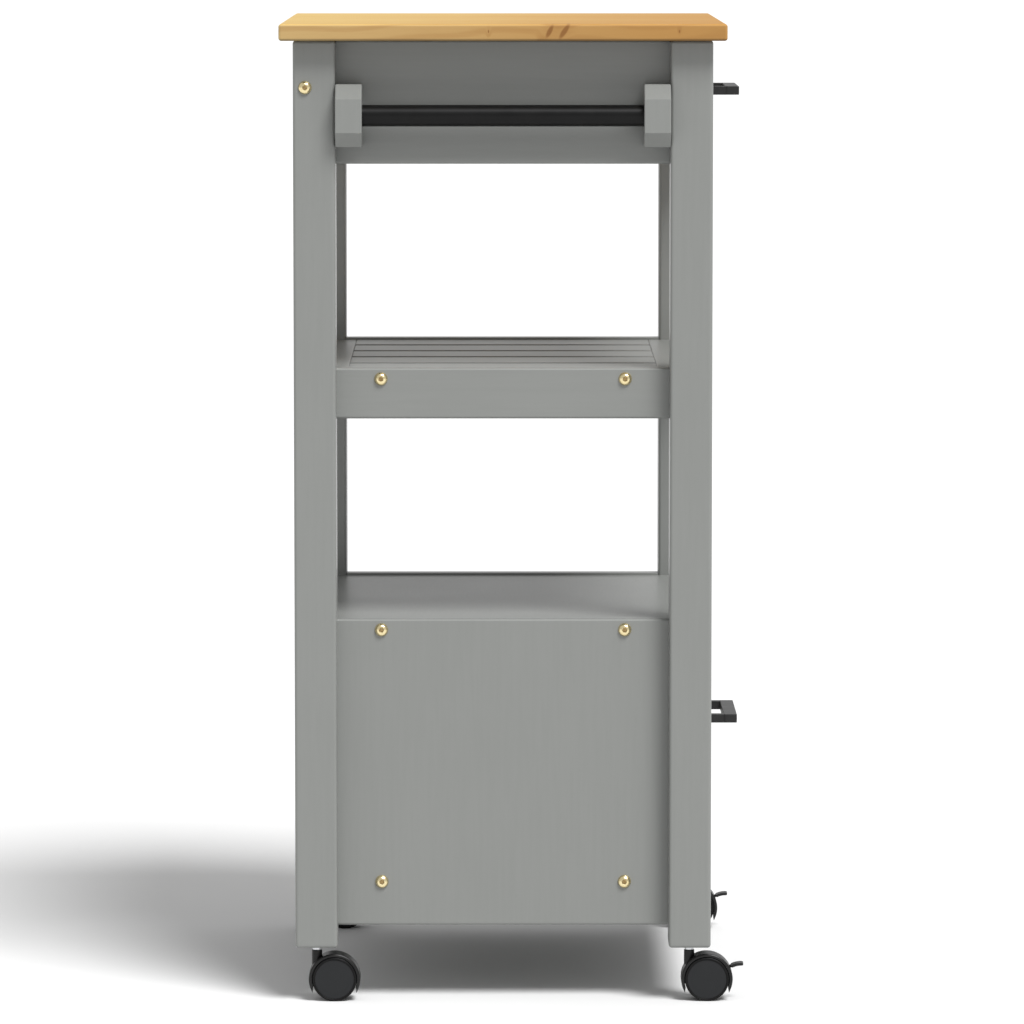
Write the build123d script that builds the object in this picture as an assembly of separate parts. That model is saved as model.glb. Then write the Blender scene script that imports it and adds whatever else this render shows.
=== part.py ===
from build123d import *

import os

# A kitchen island cart: a bolted pine frame on four twin-wheel casters, with a
# worktop, a slatted shelf, a drawer under the worktop and a deep drawer in the
# cabinet, and a towel rail on the left end.
# Millimetres. +Z is up, the front faces -Y, left is -X as seen from the front.
# The origin is on the floor, in the middle of the cart's outer box.

# ---------------------------------------------------------------- overall
overall_height = 885
worktop_length = 480
worktop_depth = 400
worktop_thickness = 15
end_overhang = 19
front_overhang = 12

# ---------------------------------------------------------------- timber
leg_size = 38
rail_thickness = 18
shelf_thickness = 16
leg_rounding = 3
worktop_rounding = 2.5
worktop_edge_rounding = 2.4
timber_rounding = 2.5
slat_rounding = 1
panel_rounding = 0.5
drawer_front_rounding = 1.5
board_inset = 2

# ---------------------------------------------------------------- levels
apron_height = 111
shelf_rail_top = 575.5
shelf_rail_height = 46
shelf_drop = 2
cabinet_top_level = 348
cabinet_side_height = 280
cabinet_lip = 2
plinth_height = 32
front_rail_height = 20
front_rail_drop = 8

# ---------------------------------------------------------------- shelf
slat_count = 5
slat_gap = 14
long_board_width = 46

# ---------------------------------------------------------------- cabinet back and cleats
back_panel_thickness = 12
cleat_size = 20

# ---------------------------------------------------------------- towel rail
bracket_width = 24
bracket_height = 56
bracket_reach = 36
bracket_chamfer = 13
bracket_rounding = 0.8
bracket_screw_edge = 8
bracket_below_worktop = 39
towel_bar_radius = 9.7
towel_bar_stand_off = 20
towel_bar_seat = 12
towel_bar_clearance = 0.1

# ---------------------------------------------------------------- fasteners
dowel_radius = 4
dowel_length = 30
dowel_chamfer = 0.8
dowel_edge = 14
back_panel_dowel_edge = 40
bolt_radius = 3
bolt_head_radius = 6
bolt_head_height = 3.4
bolt_head_rounding = 2.6
bolt_socket = 4
bolt_socket_depth = 2
bolt_bite = 32
bolt_inset = 40
rear_bolt_drop = 42
nut_radius = 5
nut_length = 12
nut_inset = 25
screw_radius = 2
screw_head_radius = 4
screw_head_depth = 2.4
screw_length = 30
screw_sink = 0.3
pan_radius = 3.2
pan_height = 1.8
pan_rounding = 1
small_screw_radius = 1.6
small_screw_bite = 8
handle_screw_radius = 2
handle_screw_head = 3.6
handle_screw_head_height = 2.4
handle_screw_head_rounding = 1.2
handle_screw_bite = 9
cleat_screw_spacing = 90
cleat_cross_screw_spacing = 60
hole_clearance = 0.05
hole_end_gap = 0.5
cut_overrun = 1

# ---------------------------------------------------------------- drawers
drawer_side_gap = 2
drawer_edge_gap = 2
drawer_top_gap = 3
box_board = 12
box_rise = 6
upper_box_drop = 20
lower_box_drop = 23
box_bottom_thickness = 4
box_bottom_rise = 8
groove_depth = 5
housing_depth = 4
runner_rear_gap = 38

# ---------------------------------------------------------------- drawer runners
runner_space = 12.5
runner_height = 30
runner_sheet = 1.5
runner_gap = 0.3
track_depth = 10
track_lip = 5
slide_web_height = 18
slide_depth = 8.5
slide_set_back = 4
runner_screw_end = 48

# ---------------------------------------------------------------- handles
handle_length = 104
handle_reach = 29.5
handle_bar_depth = 12.5
handle_bar_height = 8
handle_post = 8
handle_rounding = 0.8
lower_handle_rise = 14

# ---------------------------------------------------------------- casters
wheel_radius = 20
wheel_width = 7.5
wheel_inner_face = 4.0
wheel_rim = 2
wheel_recess = 0.6
wheel_wall = 3
wheel_disc_thickness = 2.5
wheel_hub_radius = 5
wheel_edge_round = 0.8
wheel_side_gap = 0.3
wheel_bay_gap = 0.5
wheel_to_leg = 10
axle_radius = 2
axle_end_gap = 0.5
caster_trail = 16
fender_gap = 0.7
fender_wall = 2.7
fender_set_in = 0.3
fender_edge_round = 1.6
web_overlap = 0.5
tine_floor_gap = 7.8
tine_length = 4.7
tine_inset = 2.2
housing_radius = 4.7
housing_chamfer = 0.6
housing_leg_gap = 4
stem_pin_radius = 2.5
stem_pin_depth = 19
stem_radius = 4
stem_grip = 28
stem_chamfer = 1
stem_thrust_gap = 0.2
socket_radius = 5.5
socket_depth = 30
lever_pivot_inset = 6.2
lever_pivot_up = 7.5
lever_hub_radius = 3
lever_trunnion_radius = 1.2
lever_tongue_half = 1.5
lever_tongue_thickness = 2.8
lever_half_width = 6
lever_thickness = 2.4
lever_start_set_back = 0.6
lever_start_up = 11
lever_crest_ahead = 3.2
lever_crest_up = 12.4
lever_tip_ahead = 9.6
lever_tip_up = 12.9
lever_tip_rounding = 2
tongue_into_paddle = 1.12
lever_slot_clearance = 0.35
lever_swing = 12

# ---------------------------------------------------------------- places worked out
caster_height = 2 * wheel_radius + wheel_to_leg
leg_x = worktop_length / 2 - end_overhang - leg_size / 2
leg_y = worktop_depth / 2 - front_overhang - leg_size / 2
inner_x = leg_x - leg_size / 2
inner_y = leg_y - leg_size / 2
outer_x = leg_x + leg_size / 2
outer_y = leg_y + leg_size / 2
rail_outer_x = inner_x + rail_thickness
rail_middle_x = inner_x + rail_thickness / 2
board_edge_y = outer_y - board_inset
leg_top = overall_height - worktop_thickness
apron_bottom = leg_top - apron_height
shelf_top = shelf_rail_top - shelf_drop
shelf_middle = shelf_top - shelf_thickness / 2
shelf_rail_bottom = shelf_rail_top - shelf_rail_height
slat_end_y = board_edge_y - long_board_width
slat_width = (2 * inner_x - (slat_count - 1) * slat_gap) / slat_count
cabinet_side_bottom = cabinet_top_level - cabinet_side_height
cabinet_board_top = cabinet_top_level - cabinet_lip
cabinet_ceiling = cabinet_board_top - shelf_thickness
cabinet_base_bottom = cabinet_side_bottom + plinth_height
cabinet_floor = cabinet_base_bottom + shelf_thickness
back_panel_y = board_edge_y - back_panel_thickness / 2
rear_apron_y = board_edge_y - rail_thickness / 2
front_board_y = -outer_y + rail_thickness / 2
plinth_y = -board_edge_y + rail_thickness / 2

upper_front_top = leg_top - drawer_top_gap
front_rail_bottom = apron_bottom - front_rail_drop
front_rail_top = front_rail_bottom + front_rail_height
upper_front_bottom = front_rail_top + drawer_edge_gap
lower_front_top = cabinet_ceiling - drawer_edge_gap
lower_front_bottom = cabinet_floor + drawer_top_gap
drawer_front_half = inner_x - drawer_side_gap
drawer_front_back = -outer_y + rail_thickness
box_outer_x = inner_x - runner_space
box_inner_x = box_outer_x - box_board
box_rear_y = rear_apron_y - rail_thickness / 2 - runner_rear_gap
upper_box_bottom = upper_front_bottom + box_rise
lower_box_bottom = lower_front_bottom + box_rise
upper_box_height = upper_front_top - upper_box_drop - upper_box_bottom
lower_box_height = lower_front_top - lower_box_drop - lower_box_bottom
upper_runner_level = upper_box_bottom + upper_box_height / 2
lower_runner_level = lower_box_bottom + lower_box_height / 2
track_front_y = drawer_front_back + drawer_side_gap
track_back_y = box_rear_y
upper_handle_level = (upper_front_bottom + upper_front_top) / 2
lower_handle_level = (lower_front_bottom + lower_front_top) / 2 + lower_handle_rise

bracket_top = leg_top - bracket_below_worktop
bracket_bottom = bracket_top - bracket_height
bracket_y = inner_y - bracket_width / 2
towel_bar_x = -rail_outer_x - towel_bar_stand_off
towel_bar_z = (bracket_top + bracket_bottom) / 2

bolt_y = inner_y - bolt_inset
bolt_length = rail_thickness + bolt_bite
rear_bolt_length = leg_size + bolt_bite
nut_x = inner_x - nut_inset

# Casters are measured from their axle.
axle_z = wheel_radius
axle_y = {"front": -leg_y - caster_trail, "rear": leg_y - caster_trail}
wheel_bay_radius = wheel_radius + wheel_bay_gap
hood_inner_radius = wheel_radius + fender_gap
hood_outer_radius = hood_inner_radius + fender_wall
hood_half_width = wheel_inner_face + wheel_width - fender_set_in
hood_web_half = wheel_inner_face - wheel_side_gap
housing_top = caster_height - housing_leg_gap
tine_drop = wheel_radius - tine_floor_gap
tine_top = tine_drop - tine_length
lever_pivot_forward = hood_inner_radius - lever_pivot_inset
lever_paddle_start = (hood_outer_radius - lever_start_set_back, lever_start_up)
lever_paddle_crest = (hood_outer_radius + lever_crest_ahead, lever_crest_up)
lever_paddle_tip = (hood_outer_radius + lever_tip_ahead, lever_tip_up)

# The cart's outer box reaches from its handles or brake levers to the back of
# its worktop. Its middle becomes Y = 0.
front_reach = max(outer_y + handle_reach, leg_y + caster_trail + lever_paddle_tip[0])
plan_shift = (front_reach - worktop_depth / 2) / 2

SIDES = {"left": -1, "right": 1}
ENDS = {"front": -1, "rear": 1}


# ---------------------------------------------------------------- helpers
def block(x, y, z):
    """A box between a low and a high value along each axis."""
    size = [abs(pair[1] - pair[0]) for pair in (x, y, z)]
    middle = [(pair[0] + pair[1]) / 2 for pair in (x, y, z)]
    return Pos(*middle) * Box(*size)


def rod(start, direction, radius, length):
    """A round bar that starts at a point and runs along a direction."""
    place = Plane(origin=start, z_dir=direction)
    return place * Cylinder(radius, length, align=(Align.CENTER, Align.CENTER, Align.MIN))


def rounded(piece, axis, radius):
    """The piece with every edge along one axis rounded."""
    return fillet(piece.edges().filter_by(axis), radius)


def boxes_meet(one, other):
    """Whether two bounding boxes overlap."""
    apart = [
        one.max.X < other.min.X or other.max.X < one.min.X,
        one.max.Y < other.min.Y or other.max.Y < one.min.Y,
        one.max.Z < other.min.Z or other.max.Z < one.min.Z,
    ]
    return not any(apart)


def drilled(piece, holes):
    """The piece less every hole that meets it."""
    reach = piece.bounding_box()
    met = [hole for hole in holes if boxes_meet(reach, hole.bounding_box())]
    for hole in met:
        piece = piece - hole
    return piece


def far_rim(piece, direction):
    """The round edge of a piece that lies furthest along a direction."""
    rims = piece.edges().filter_by(GeomType.CIRCLE)
    return rims.sort_by(Axis((0, 0, 0), direction))[-1]


def along(start, direction, distance):
    """The point at a distance from a start along a direction."""
    return tuple(start[i] + direction[i] * distance for i in range(3))


def save(name, *pieces):
    """Writes one node, moved so that the cart's outer box is centred."""
    solids = [solid for piece in pieces for solid in piece.solids()]
    shape = solids[0] if len(solids) == 1 else Compound(children=solids)
    export_step(Pos(0, plan_shift, 0) * shape, os.path.join("parts", name + ".step"))


# ---------------------------------------------------------------- where fasteners go
def dowel_spots():
    """The middle and direction of every wooden dowel in the frame."""
    spots = []
    for side in SIDES.values():
        for end in ENDS.values():
            side_levels = [apron_bottom + dowel_edge, leg_top - dowel_edge]
            side_levels += [shelf_rail_bottom + shelf_rail_height / 2]
            side_levels += [cabinet_side_bottom + dowel_edge, cabinet_top_level - dowel_edge]
            side_levels += [cabinet_top_level - cabinet_side_height / 2]
            for level in side_levels:
                spots.append(((side * rail_middle_x, end * inner_y, level), (0, 1, 0)))
        rail_level = front_rail_top - front_rail_height / 2
        spots.append(((side * inner_x, front_board_y, rail_level), (1, 0, 0)))
        plinth_level = cabinet_base_bottom - plinth_height / 2
        spots.append(((side * inner_x, plinth_y, plinth_level), (1, 0, 0)))
        for level in (cabinet_floor + back_panel_dowel_edge, cabinet_ceiling - back_panel_dowel_edge):
            spots.append(((side * inner_x, back_panel_y, level), (1, 0, 0)))
    for slat in range(slat_count):
        for offset in (-slat_width / 4, slat_width / 4):
            for end in ENDS.values():
                spot = (slat_middle(slat) + offset, end * slat_end_y, shelf_middle)
                spots.append((spot, (0, 1, 0)))
    return spots


def bolt_spots():
    """Where each bolt head sits, which way it points and how long it is."""
    spots = []
    levels = (shelf_middle, cabinet_board_top - shelf_thickness / 2, cabinet_floor - shelf_thickness / 2)
    for side in SIDES.values():
        for end in ENDS.values():
            for level in levels:
                head = (side * rail_outer_x, end * bolt_y, level)
                spots.append((head, (-side, 0, 0), bolt_length))
        head = (side * outer_x, rear_apron_y, leg_top - rear_bolt_drop)
        spots.append((head, (-side, 0, 0), rear_bolt_length))
    return spots


def nut_spots():
    """The middle and direction of each barrel nut."""
    spots = []
    for head, direction, _ in bolt_spots():
        middle = (-direction[0] * nut_x, head[1], head[2])
        in_apron = head[1] == rear_apron_y
        spots.append((middle, (0, 1, 0) if in_apron else (0, 0, 1)))
    return spots


def wood_screw_spots():
    """The head and direction of each countersunk wood screw."""
    spots = []
    cleat_bottom = leg_top - cleat_size
    for side in SIDES.values():
        for y in (-cleat_screw_spacing, 0, cleat_screw_spacing):
            spots.append(((side * (inner_x - cleat_size / 2), y, cleat_bottom), (0, 0, 1)))
        for y in (-cleat_cross_screw_spacing / 2, cleat_cross_screw_spacing / 2):
            spots.append(((side * (inner_x - cleat_size), y, leg_top - cleat_size / 2), (side, 0, 0)))
    for end in ENDS.values():
        for level in (bracket_bottom + bracket_screw_edge, bracket_top - bracket_screw_edge):
            spots.append(((-inner_x, end * bracket_y, level), (-1, 0, 0)))
    return spots


def runner_screw_levels():
    """The places along Y of the screws in a runner."""
    middle = (track_front_y + track_back_y) / 2
    return (track_front_y + runner_screw_end, middle, track_back_y - runner_screw_end)


def slat_middle(index):
    """The middle of one shelf slat along X."""
    return -inner_x + slat_width / 2 + index * (slat_width + slat_gap)


# ---------------------------------------------------------------- fasteners
def dowel(middle, direction):
    """A grooved wooden dowel, plain here, with chamfered ends."""
    start = along(middle, direction, -dowel_length / 2)
    peg = rod(start, direction, dowel_radius, dowel_length)
    return chamfer(peg.edges().filter_by(GeomType.CIRCLE), dowel_chamfer)


def dowel_hole(middle, direction):
    """The hole that one dowel fills in the two pieces it joins."""
    length = dowel_length + 2 * hole_end_gap
    return rod(along(middle, direction, -length / 2), direction, dowel_radius + hole_clearance, length)


def bolt(head, direction, length):
    """A button-head bolt with a hexagon socket."""
    back = tuple(-value for value in direction)
    cap = rod(head, back, bolt_head_radius, bolt_head_height)
    cap = fillet(far_rim(cap, back), bolt_head_rounding)
    key = Plane(origin=along(head, back, bolt_head_height - bolt_socket_depth), z_dir=back)
    socket = extrude(key * RegularPolygon(bolt_socket / 2, 6, major_radius=False), bolt_socket_depth)
    return cap - socket + rod(head, direction, bolt_radius, length)


def bolt_hole(head, direction, length):
    """The hole for a bolt's shank, a little longer than the shank."""
    return rod(head, direction, bolt_radius + hole_clearance, length + 2 * hole_end_gap)


def nut(middle, direction):
    """A barrel nut, crossed by its bolt."""
    start = along(middle, direction, -nut_length / 2)
    barrel = rod(start, direction, nut_radius, nut_length)
    before = (middle[0] - nut_length, middle[1], middle[2])
    thread = rod(before, (1, 0, 0), bolt_radius + hole_clearance, 2 * nut_length)
    return barrel - thread


def nut_hole(middle, direction):
    """The hole that a barrel nut drops into, open below or behind the board."""
    end = along(middle, direction, nut_length / 2 + hole_clearance)
    back = tuple(-value for value in direction)
    return rod(end, back, nut_radius + hole_clearance, nut_length / 2 + rail_thickness)


def wood_screw(head, direction, radial=0.0):
    """A countersunk screw just below the surface, or with a radial clearance its hole."""
    start = along(head, direction, screw_sink)
    place = Plane(origin=start, z_dir=direction)
    bottom = (Align.CENTER, Align.CENTER, Align.MIN)
    cone = place * Cone(screw_head_radius + radial, screw_radius + radial, screw_head_depth, align=bottom)
    length = screw_length - screw_sink + (hole_end_gap if radial else 0)
    screw = cone + rod(start, direction, screw_radius + radial, length)
    if radial:
        before = along(head, direction, -cut_overrun)
        screw = screw + rod(before, direction, screw_head_radius + radial, cut_overrun + screw_sink)
    return screw


def pan_screw(head, direction, length):
    """A small pan-head screw, its shank starting where the head seats."""
    back = tuple(-value for value in direction)
    cap = rod(head, back, pan_radius, pan_height)
    cap = fillet(far_rim(cap, back), pan_rounding)
    return cap + rod(head, direction, small_screw_radius, length)


# ---------------------------------------------------------------- frame
def worktop():
    """The edge-glued pine worktop."""
    board = block(
        (-worktop_length / 2, worktop_length / 2),
        (-worktop_depth / 2, worktop_depth / 2),
        (leg_top, overall_height),
    )
    return fillet(rounded(board, Axis.Z, worktop_rounding).edges(), worktop_edge_rounding)


def leg(side, end):
    """One leg, bored from below for a caster socket."""
    post = block(
        (side * leg_x - leg_size / 2, side * leg_x + leg_size / 2),
        (end * leg_y - leg_size / 2, end * leg_y + leg_size / 2),
        (caster_height, leg_top),
    )
    post = rounded(post, Axis.Z, leg_rounding)
    foot = (side * leg_x, end * leg_y, caster_height)
    return post - rod(foot, (0, 0, 1), socket_radius, socket_depth + 2 * hole_end_gap)


def side_board(side, bottom, top):
    """A board between the legs of one end, flush with their inner faces."""
    board = block((side * inner_x, side * rail_outer_x), (-inner_y, inner_y), (bottom, top))
    outside = board.edges().filter_by(Axis.Y).sort_by(Axis.X)
    outside = outside[-2:] if side > 0 else outside[:2]
    return fillet(outside, timber_rounding)


def cross_board(y, thickness, bottom, top, rounding):
    """A board between the legs of the front or the back."""
    board = block((-inner_x, inner_x), (y - thickness / 2, y + thickness / 2), (bottom, top))
    return rounded(board, Axis.X, rounding)


def flat_board(bottom):
    """A cabinet board that fills the space between the two ends."""
    board = block((-inner_x, inner_x), (-board_edge_y, board_edge_y), (bottom, bottom + shelf_thickness))
    return rounded(board, Axis.X, timber_rounding)


def long_shelf_board(end):
    """The board along the front or the back of the shelf."""
    board = block(
        (-inner_x, inner_x),
        (end * slat_end_y, end * board_edge_y),
        (shelf_top - shelf_thickness, shelf_top),
    )
    outside = board.edges().filter_by(Axis.X).sort_by(Axis.Y)
    outside = outside[-2:] if end > 0 else outside[:2]
    return fillet(outside, timber_rounding)


def shelf_slat(index):
    """One slat, from the front board to the back board."""
    middle = slat_middle(index)
    slat = block(
        (middle - slat_width / 2, middle + slat_width / 2),
        (-slat_end_y, slat_end_y),
        (shelf_top - shelf_thickness, shelf_top),
    )
    return rounded(slat, Axis.Y, slat_rounding)


def worktop_cleat(side):
    """The cleat that ties a side apron to the worktop."""
    across = (side * (inner_x - cleat_size), side * inner_x)
    return block(across, (-inner_y, inner_y), (leg_top - cleat_size, leg_top))


# ---------------------------------------------------------------- towel rail
def towel_bracket(end):
    """A wooden block with its front corners cut off and a blind seat for the bar."""
    middle = end * bracket_y
    body = block(
        (-rail_outer_x - bracket_reach, -rail_outer_x),
        (middle - bracket_width / 2, middle + bracket_width / 2),
        (bracket_bottom, bracket_top),
    )
    body = chamfer(body.edges().filter_by(Axis.Y).sort_by(Axis.X)[:2], bracket_chamfer)
    front_edges = body.faces().sort_by(Axis.X)[0].edges()
    body = fillet(front_edges, bracket_rounding)
    inside = end * (bracket_y - bracket_width / 2)
    seat = rod(
        (towel_bar_x, inside, towel_bar_z),
        (0, end, 0),
        towel_bar_radius + towel_bar_clearance,
        towel_bar_seat + towel_bar_clearance,
    )
    return body - seat


def towel_bar():
    """The round bar between the two brackets."""
    half = bracket_y - bracket_width / 2 + towel_bar_seat
    return rod((towel_bar_x, -half, towel_bar_z), (0, 1, 0), towel_bar_radius, 2 * half)


# ---------------------------------------------------------------- runners
def channel(side, parts, y, level):
    """A sheet section: boxes given by distance in from the side board and by height."""
    shape = None
    for near, far, low, high in parts:
        piece = block((side * (inner_x - near), side * (inner_x - far)), y, (level + low, level + high))
        shape = piece if shape is None else shape + piece
    return shape.clean()


def runner_track(side, level):
    """The channel fixed to the side of the cart."""
    half = runner_height / 2
    parts = [
        (0, runner_sheet, -half, half),
        (0, track_depth, half - runner_sheet, half),
        (0, track_depth, -half, runner_sheet - half),
        (track_depth - runner_sheet, track_depth, half - track_lip, half),
        (track_depth - runner_sheet, track_depth, -half, track_lip - half),
    ]
    track = channel(side, parts, (track_front_y, track_back_y), level)
    for y in runner_screw_levels():
        start = (side * (inner_x - track_depth), y, level)
        track = track - rod(start, (side, 0, 0), small_screw_radius, track_depth)
    return track


def runner_slide(side, level):
    """The hat section fixed to the drawer, which runs inside the track."""
    web = slide_web_height / 2
    lip = runner_height / 2 - runner_sheet - runner_gap
    foot = runner_space
    crown = runner_space - slide_depth
    parts = [
        (foot - runner_sheet, foot, -web, web),
        (crown, foot, web - runner_sheet, web),
        (crown, foot, -web, runner_sheet - web),
        (crown, crown + runner_sheet, web - runner_sheet, lip),
        (crown, crown + runner_sheet, -lip, runner_sheet - web),
    ]
    slide = channel(side, parts, (track_front_y, track_back_y - slide_set_back), level)
    for y in runner_screw_levels():
        slide = slide - rod((side * box_outer_x, y, level), (side, 0, 0), small_screw_radius, runner_sheet)
    return slide


def track_screws(level):
    """The screws through the tracks into the side boards, at one level."""
    length = runner_sheet + small_screw_bite
    screws = []
    for side in SIDES.values():
        for y in runner_screw_levels():
            head = (side * (inner_x - runner_sheet), y, level)
            screws.append(pan_screw(head, (side, 0, 0), length))
    return screws


def slide_screws(level):
    """The screws through the slides into the drawer sides, at one level."""
    length = runner_sheet + small_screw_bite
    screws = []
    for side in SIDES.values():
        for y in runner_screw_levels():
            head = (side * (box_outer_x + runner_sheet), y, level)
            screws.append(pan_screw(head, (-side, 0, 0), length))
    return screws


def small_screw_hole(screw_head, direction):
    """The pilot hole of a small screw, to its tip."""
    return rod(screw_head, direction, small_screw_radius, small_screw_bite)


def track_screw_holes():
    """The pilot holes in the side boards."""
    holes = []
    for level in (upper_runner_level, lower_runner_level):
        for side in SIDES.values():
            for y in runner_screw_levels():
                holes.append(small_screw_hole((side * inner_x, y, level), (side, 0, 0)))
    return holes


# ---------------------------------------------------------------- drawers
def drawer_bottom(bottom):
    """The bottom panel, whose shape the grooves round it also use."""
    low = bottom + box_bottom_rise
    return block(
        (-box_inner_x - groove_depth, box_inner_x + groove_depth),
        (drawer_front_back - groove_depth, box_rear_y),
        (low, low + box_bottom_thickness),
    )


def drawer_sides(bottom, height):
    """The two side boards, let into the front and grooved for the bottom and the back."""
    sides = []
    panel = drawer_bottom(bottom)
    back = drawer_back(bottom, height)
    level = bottom + height / 2
    for side in SIDES.values():
        board = block(
            (side * box_inner_x, side * box_outer_x),
            (drawer_front_back - housing_depth, box_rear_y),
            (bottom, bottom + height),
        )
        board = board - panel - back
        for y in runner_screw_levels():
            board = board - small_screw_hole((side * box_outer_x, y, level), (-side, 0, 0))
        sides.append(board)
    return sides


def drawer_back(bottom, height):
    """The back board, above the bottom panel and let into the two sides."""
    half = box_inner_x + housing_depth
    inset = box_board / 2
    low = bottom + box_bottom_rise + box_bottom_thickness
    depth = (box_rear_y - inset - box_board, box_rear_y - inset)
    return block((-half, half), depth, (low, bottom + height))


def drawer_front(low, high, bottom, height, handle_level):
    """The front board, housed for the sides, grooved for the bottom and drilled for the handle."""
    board = block((-drawer_front_half, drawer_front_half), (-outer_y, drawer_front_back), (low, high))
    board = fillet(board.faces().sort_by(Axis.Y)[0].edges(), drawer_front_rounding)
    for side in SIDES.values():
        board = board - block(
            (side * box_inner_x, side * box_outer_x),
            (drawer_front_back - housing_depth, drawer_front_back + cut_overrun),
            (bottom, bottom + height),
        )
    board = board - drawer_bottom(bottom)
    for spot in handle_screw_spots(handle_level):
        board = board - rod(spot, (0, -1, 0), handle_screw_radius + hole_clearance, rail_thickness)
    return board


def handle_screw_spots(level):
    """Where the two handle screws enter the back of a drawer front."""
    x = handle_length / 2 - handle_post / 2
    return [(-x, drawer_front_back, level), (x, drawer_front_back, level)]


def drawer_handle(level):
    """A square-cornered bar on two posts, tapped for its screws."""
    low = level - handle_bar_height / 2
    high = level + handle_bar_height / 2
    half = handle_length / 2
    inside = outer_y + handle_reach - handle_bar_depth
    bar = block((-half, half), (-outer_y - handle_reach, -outer_y), (low, high))
    between = (handle_post - half, half - handle_post)
    finger_room = (-inside, -outer_y + cut_overrun)
    bar = bar - block(between, finger_room, (low - cut_overrun, high + cut_overrun))
    outer = bar.edges().filter_by(lambda edge: edge.center().Y < -outer_y - handle_rounding)
    bar = fillet(outer, handle_rounding)
    for spot in handle_screw_spots(level):
        start = (spot[0], -outer_y, spot[2])
        bar = bar - rod(start, (0, -1, 0), handle_screw_radius, handle_screw_bite + hole_clearance)
    return bar


def handle_screws(level):
    """The two machine screws that hold a handle from inside its drawer."""
    screws = []
    for spot in handle_screw_spots(level):
        cap = rod(spot, (0, 1, 0), handle_screw_head, handle_screw_head_height)
        cap = fillet(far_rim(cap, (0, 1, 0)), handle_screw_head_rounding)
        shank = rod(spot, (0, -1, 0), handle_screw_radius, rail_thickness + handle_screw_bite)
        screws.append(cap + shank)
    return screws


def save_drawer(name, low, high, bottom, height, handle_level):
    """Writes the nodes of one drawer."""
    level = bottom + height / 2
    save(name + "_front", drawer_front(low, high, bottom, height, handle_level))
    save(name + "_sides", *drawer_sides(bottom, height))
    save(name + "_back", drawer_back(bottom, height))
    save(name + "_bottom", drawer_bottom(bottom))
    save(name + "_handle", drawer_handle(handle_level))
    save(name + "_slides", *[runner_slide(side, level) for side in SIDES.values()])
    save(name + "_screws", *handle_screws(handle_level), *slide_screws(level))


# ---------------------------------------------------------------- casters
# Each caster is drawn about its axle: X along the axle, "forward" towards -Y.
def profile_prism(points, half_width):
    """A prism along X from an outline of (forward, up) points about the axle."""
    corners = [(0, -forward, up) for forward, up in points]
    return extrude(make_face(Polyline(corners, close=True)), half_width, dir=(1, 0, 0), both=True)


def round_prism(forward, up, radius, half_width):
    """A round bar along X, centred on a (forward, up) point."""
    return rod((-half_width, -forward, up), (1, 0, 0), radius, 2 * half_width)


def fender():
    """The arch over both wheels, with a pointed tine low at the front and the back."""
    ring = round_prism(0, 0, hood_outer_radius, hood_half_width)
    ring = fillet(ring.edges().filter_by(GeomType.CIRCLE), fender_edge_round)
    ring = ring - round_prism(0, 0, hood_inner_radius, hood_half_width + cut_overrun)
    tip = (hood_outer_radius**2 - tine_drop**2) ** 0.5
    far = 2 * hood_outer_radius
    inner = hood_inner_radius - tine_inset
    outline = [(far, far), (far, -tine_drop), (tip, -tine_drop), (inner, -tine_top)]
    outline += [(-forward, up) for forward, up in reversed(outline)]
    return ring & profile_prism(outline, hood_half_width + cut_overrun)


def wheel_bays():
    """The two spaces that the wheels turn in, which the hood leaves open."""
    bays = []
    for side in SIDES.values():
        bays.append(rod((side * hood_web_half, 0, 0), (side, 0, 0), wheel_bay_radius, hood_half_width))
    return bays


def hood(has_lever):
    """The caster's moulded body: fender, web between the wheels and stem housing."""
    web = round_prism(0, 0, hood_inner_radius + web_overlap, hood_web_half)
    far = 2 * hood_outer_radius
    keep = [(-far, -wheel_hub_radius), (far, -wheel_hub_radius), (far, far), (-far, far)]
    web = web & profile_prism(keep, hood_web_half)
    top = housing_top - axle_z
    housing = rod((0, caster_trail, 0), (0, 0, 1), housing_radius, top)
    housing = chamfer(far_rim(housing, (0, 0, 1)), housing_chamfer)
    body = fender() + web + housing
    for bay in wheel_bays():
        body = body - bay
    below = block((-far, far), (-far, far), (-far, -tine_drop))
    body = body - below
    body = body - round_prism(0, 0, axle_radius + hole_clearance, far)
    mouth = (0, caster_trail, top)
    bore_depth = stem_pin_depth + hole_end_gap
    body = body - rod(mouth, (0, 0, -1), stem_pin_radius + hole_clearance, bore_depth)
    if has_lever:
        body = body - lever_slot()
        body = body - lever_pivot(lever_trunnion_radius + hole_clearance, hood_web_half)
    return body


def lever_pivot(radius, half_width):
    """A round bar on the lever's pivot."""
    return round_prism(lever_pivot_forward, lever_pivot_up, radius, half_width)


def lever_slot():
    """The slot in web and fender that the lever's tongue swings in."""
    half = lever_tongue_half + lever_slot_clearance
    hub = lever_pivot(lever_hub_radius + lever_slot_clearance, half)
    reach = hood_outer_radius
    across = lever_tongue_thickness / 2 + lever_slot_clearance
    start = Vector(lever_pivot_forward, lever_pivot_up)
    rise = Vector(*lever_paddle_start) - start
    up = rise.normalized()
    down = up.rotate(Axis.Z, -lever_swing)
    corners = []
    for line, sign in ((up, 1), (down, -1)):
        edge = line.rotate(Axis.Z, 90) * (sign * across)
        pair = [start + edge, start + edge + line * reach]
        corners += pair if sign > 0 else pair[::-1]
    return hub + profile_prism([(corner.X, corner.Y) for corner in corners], half)


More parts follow.
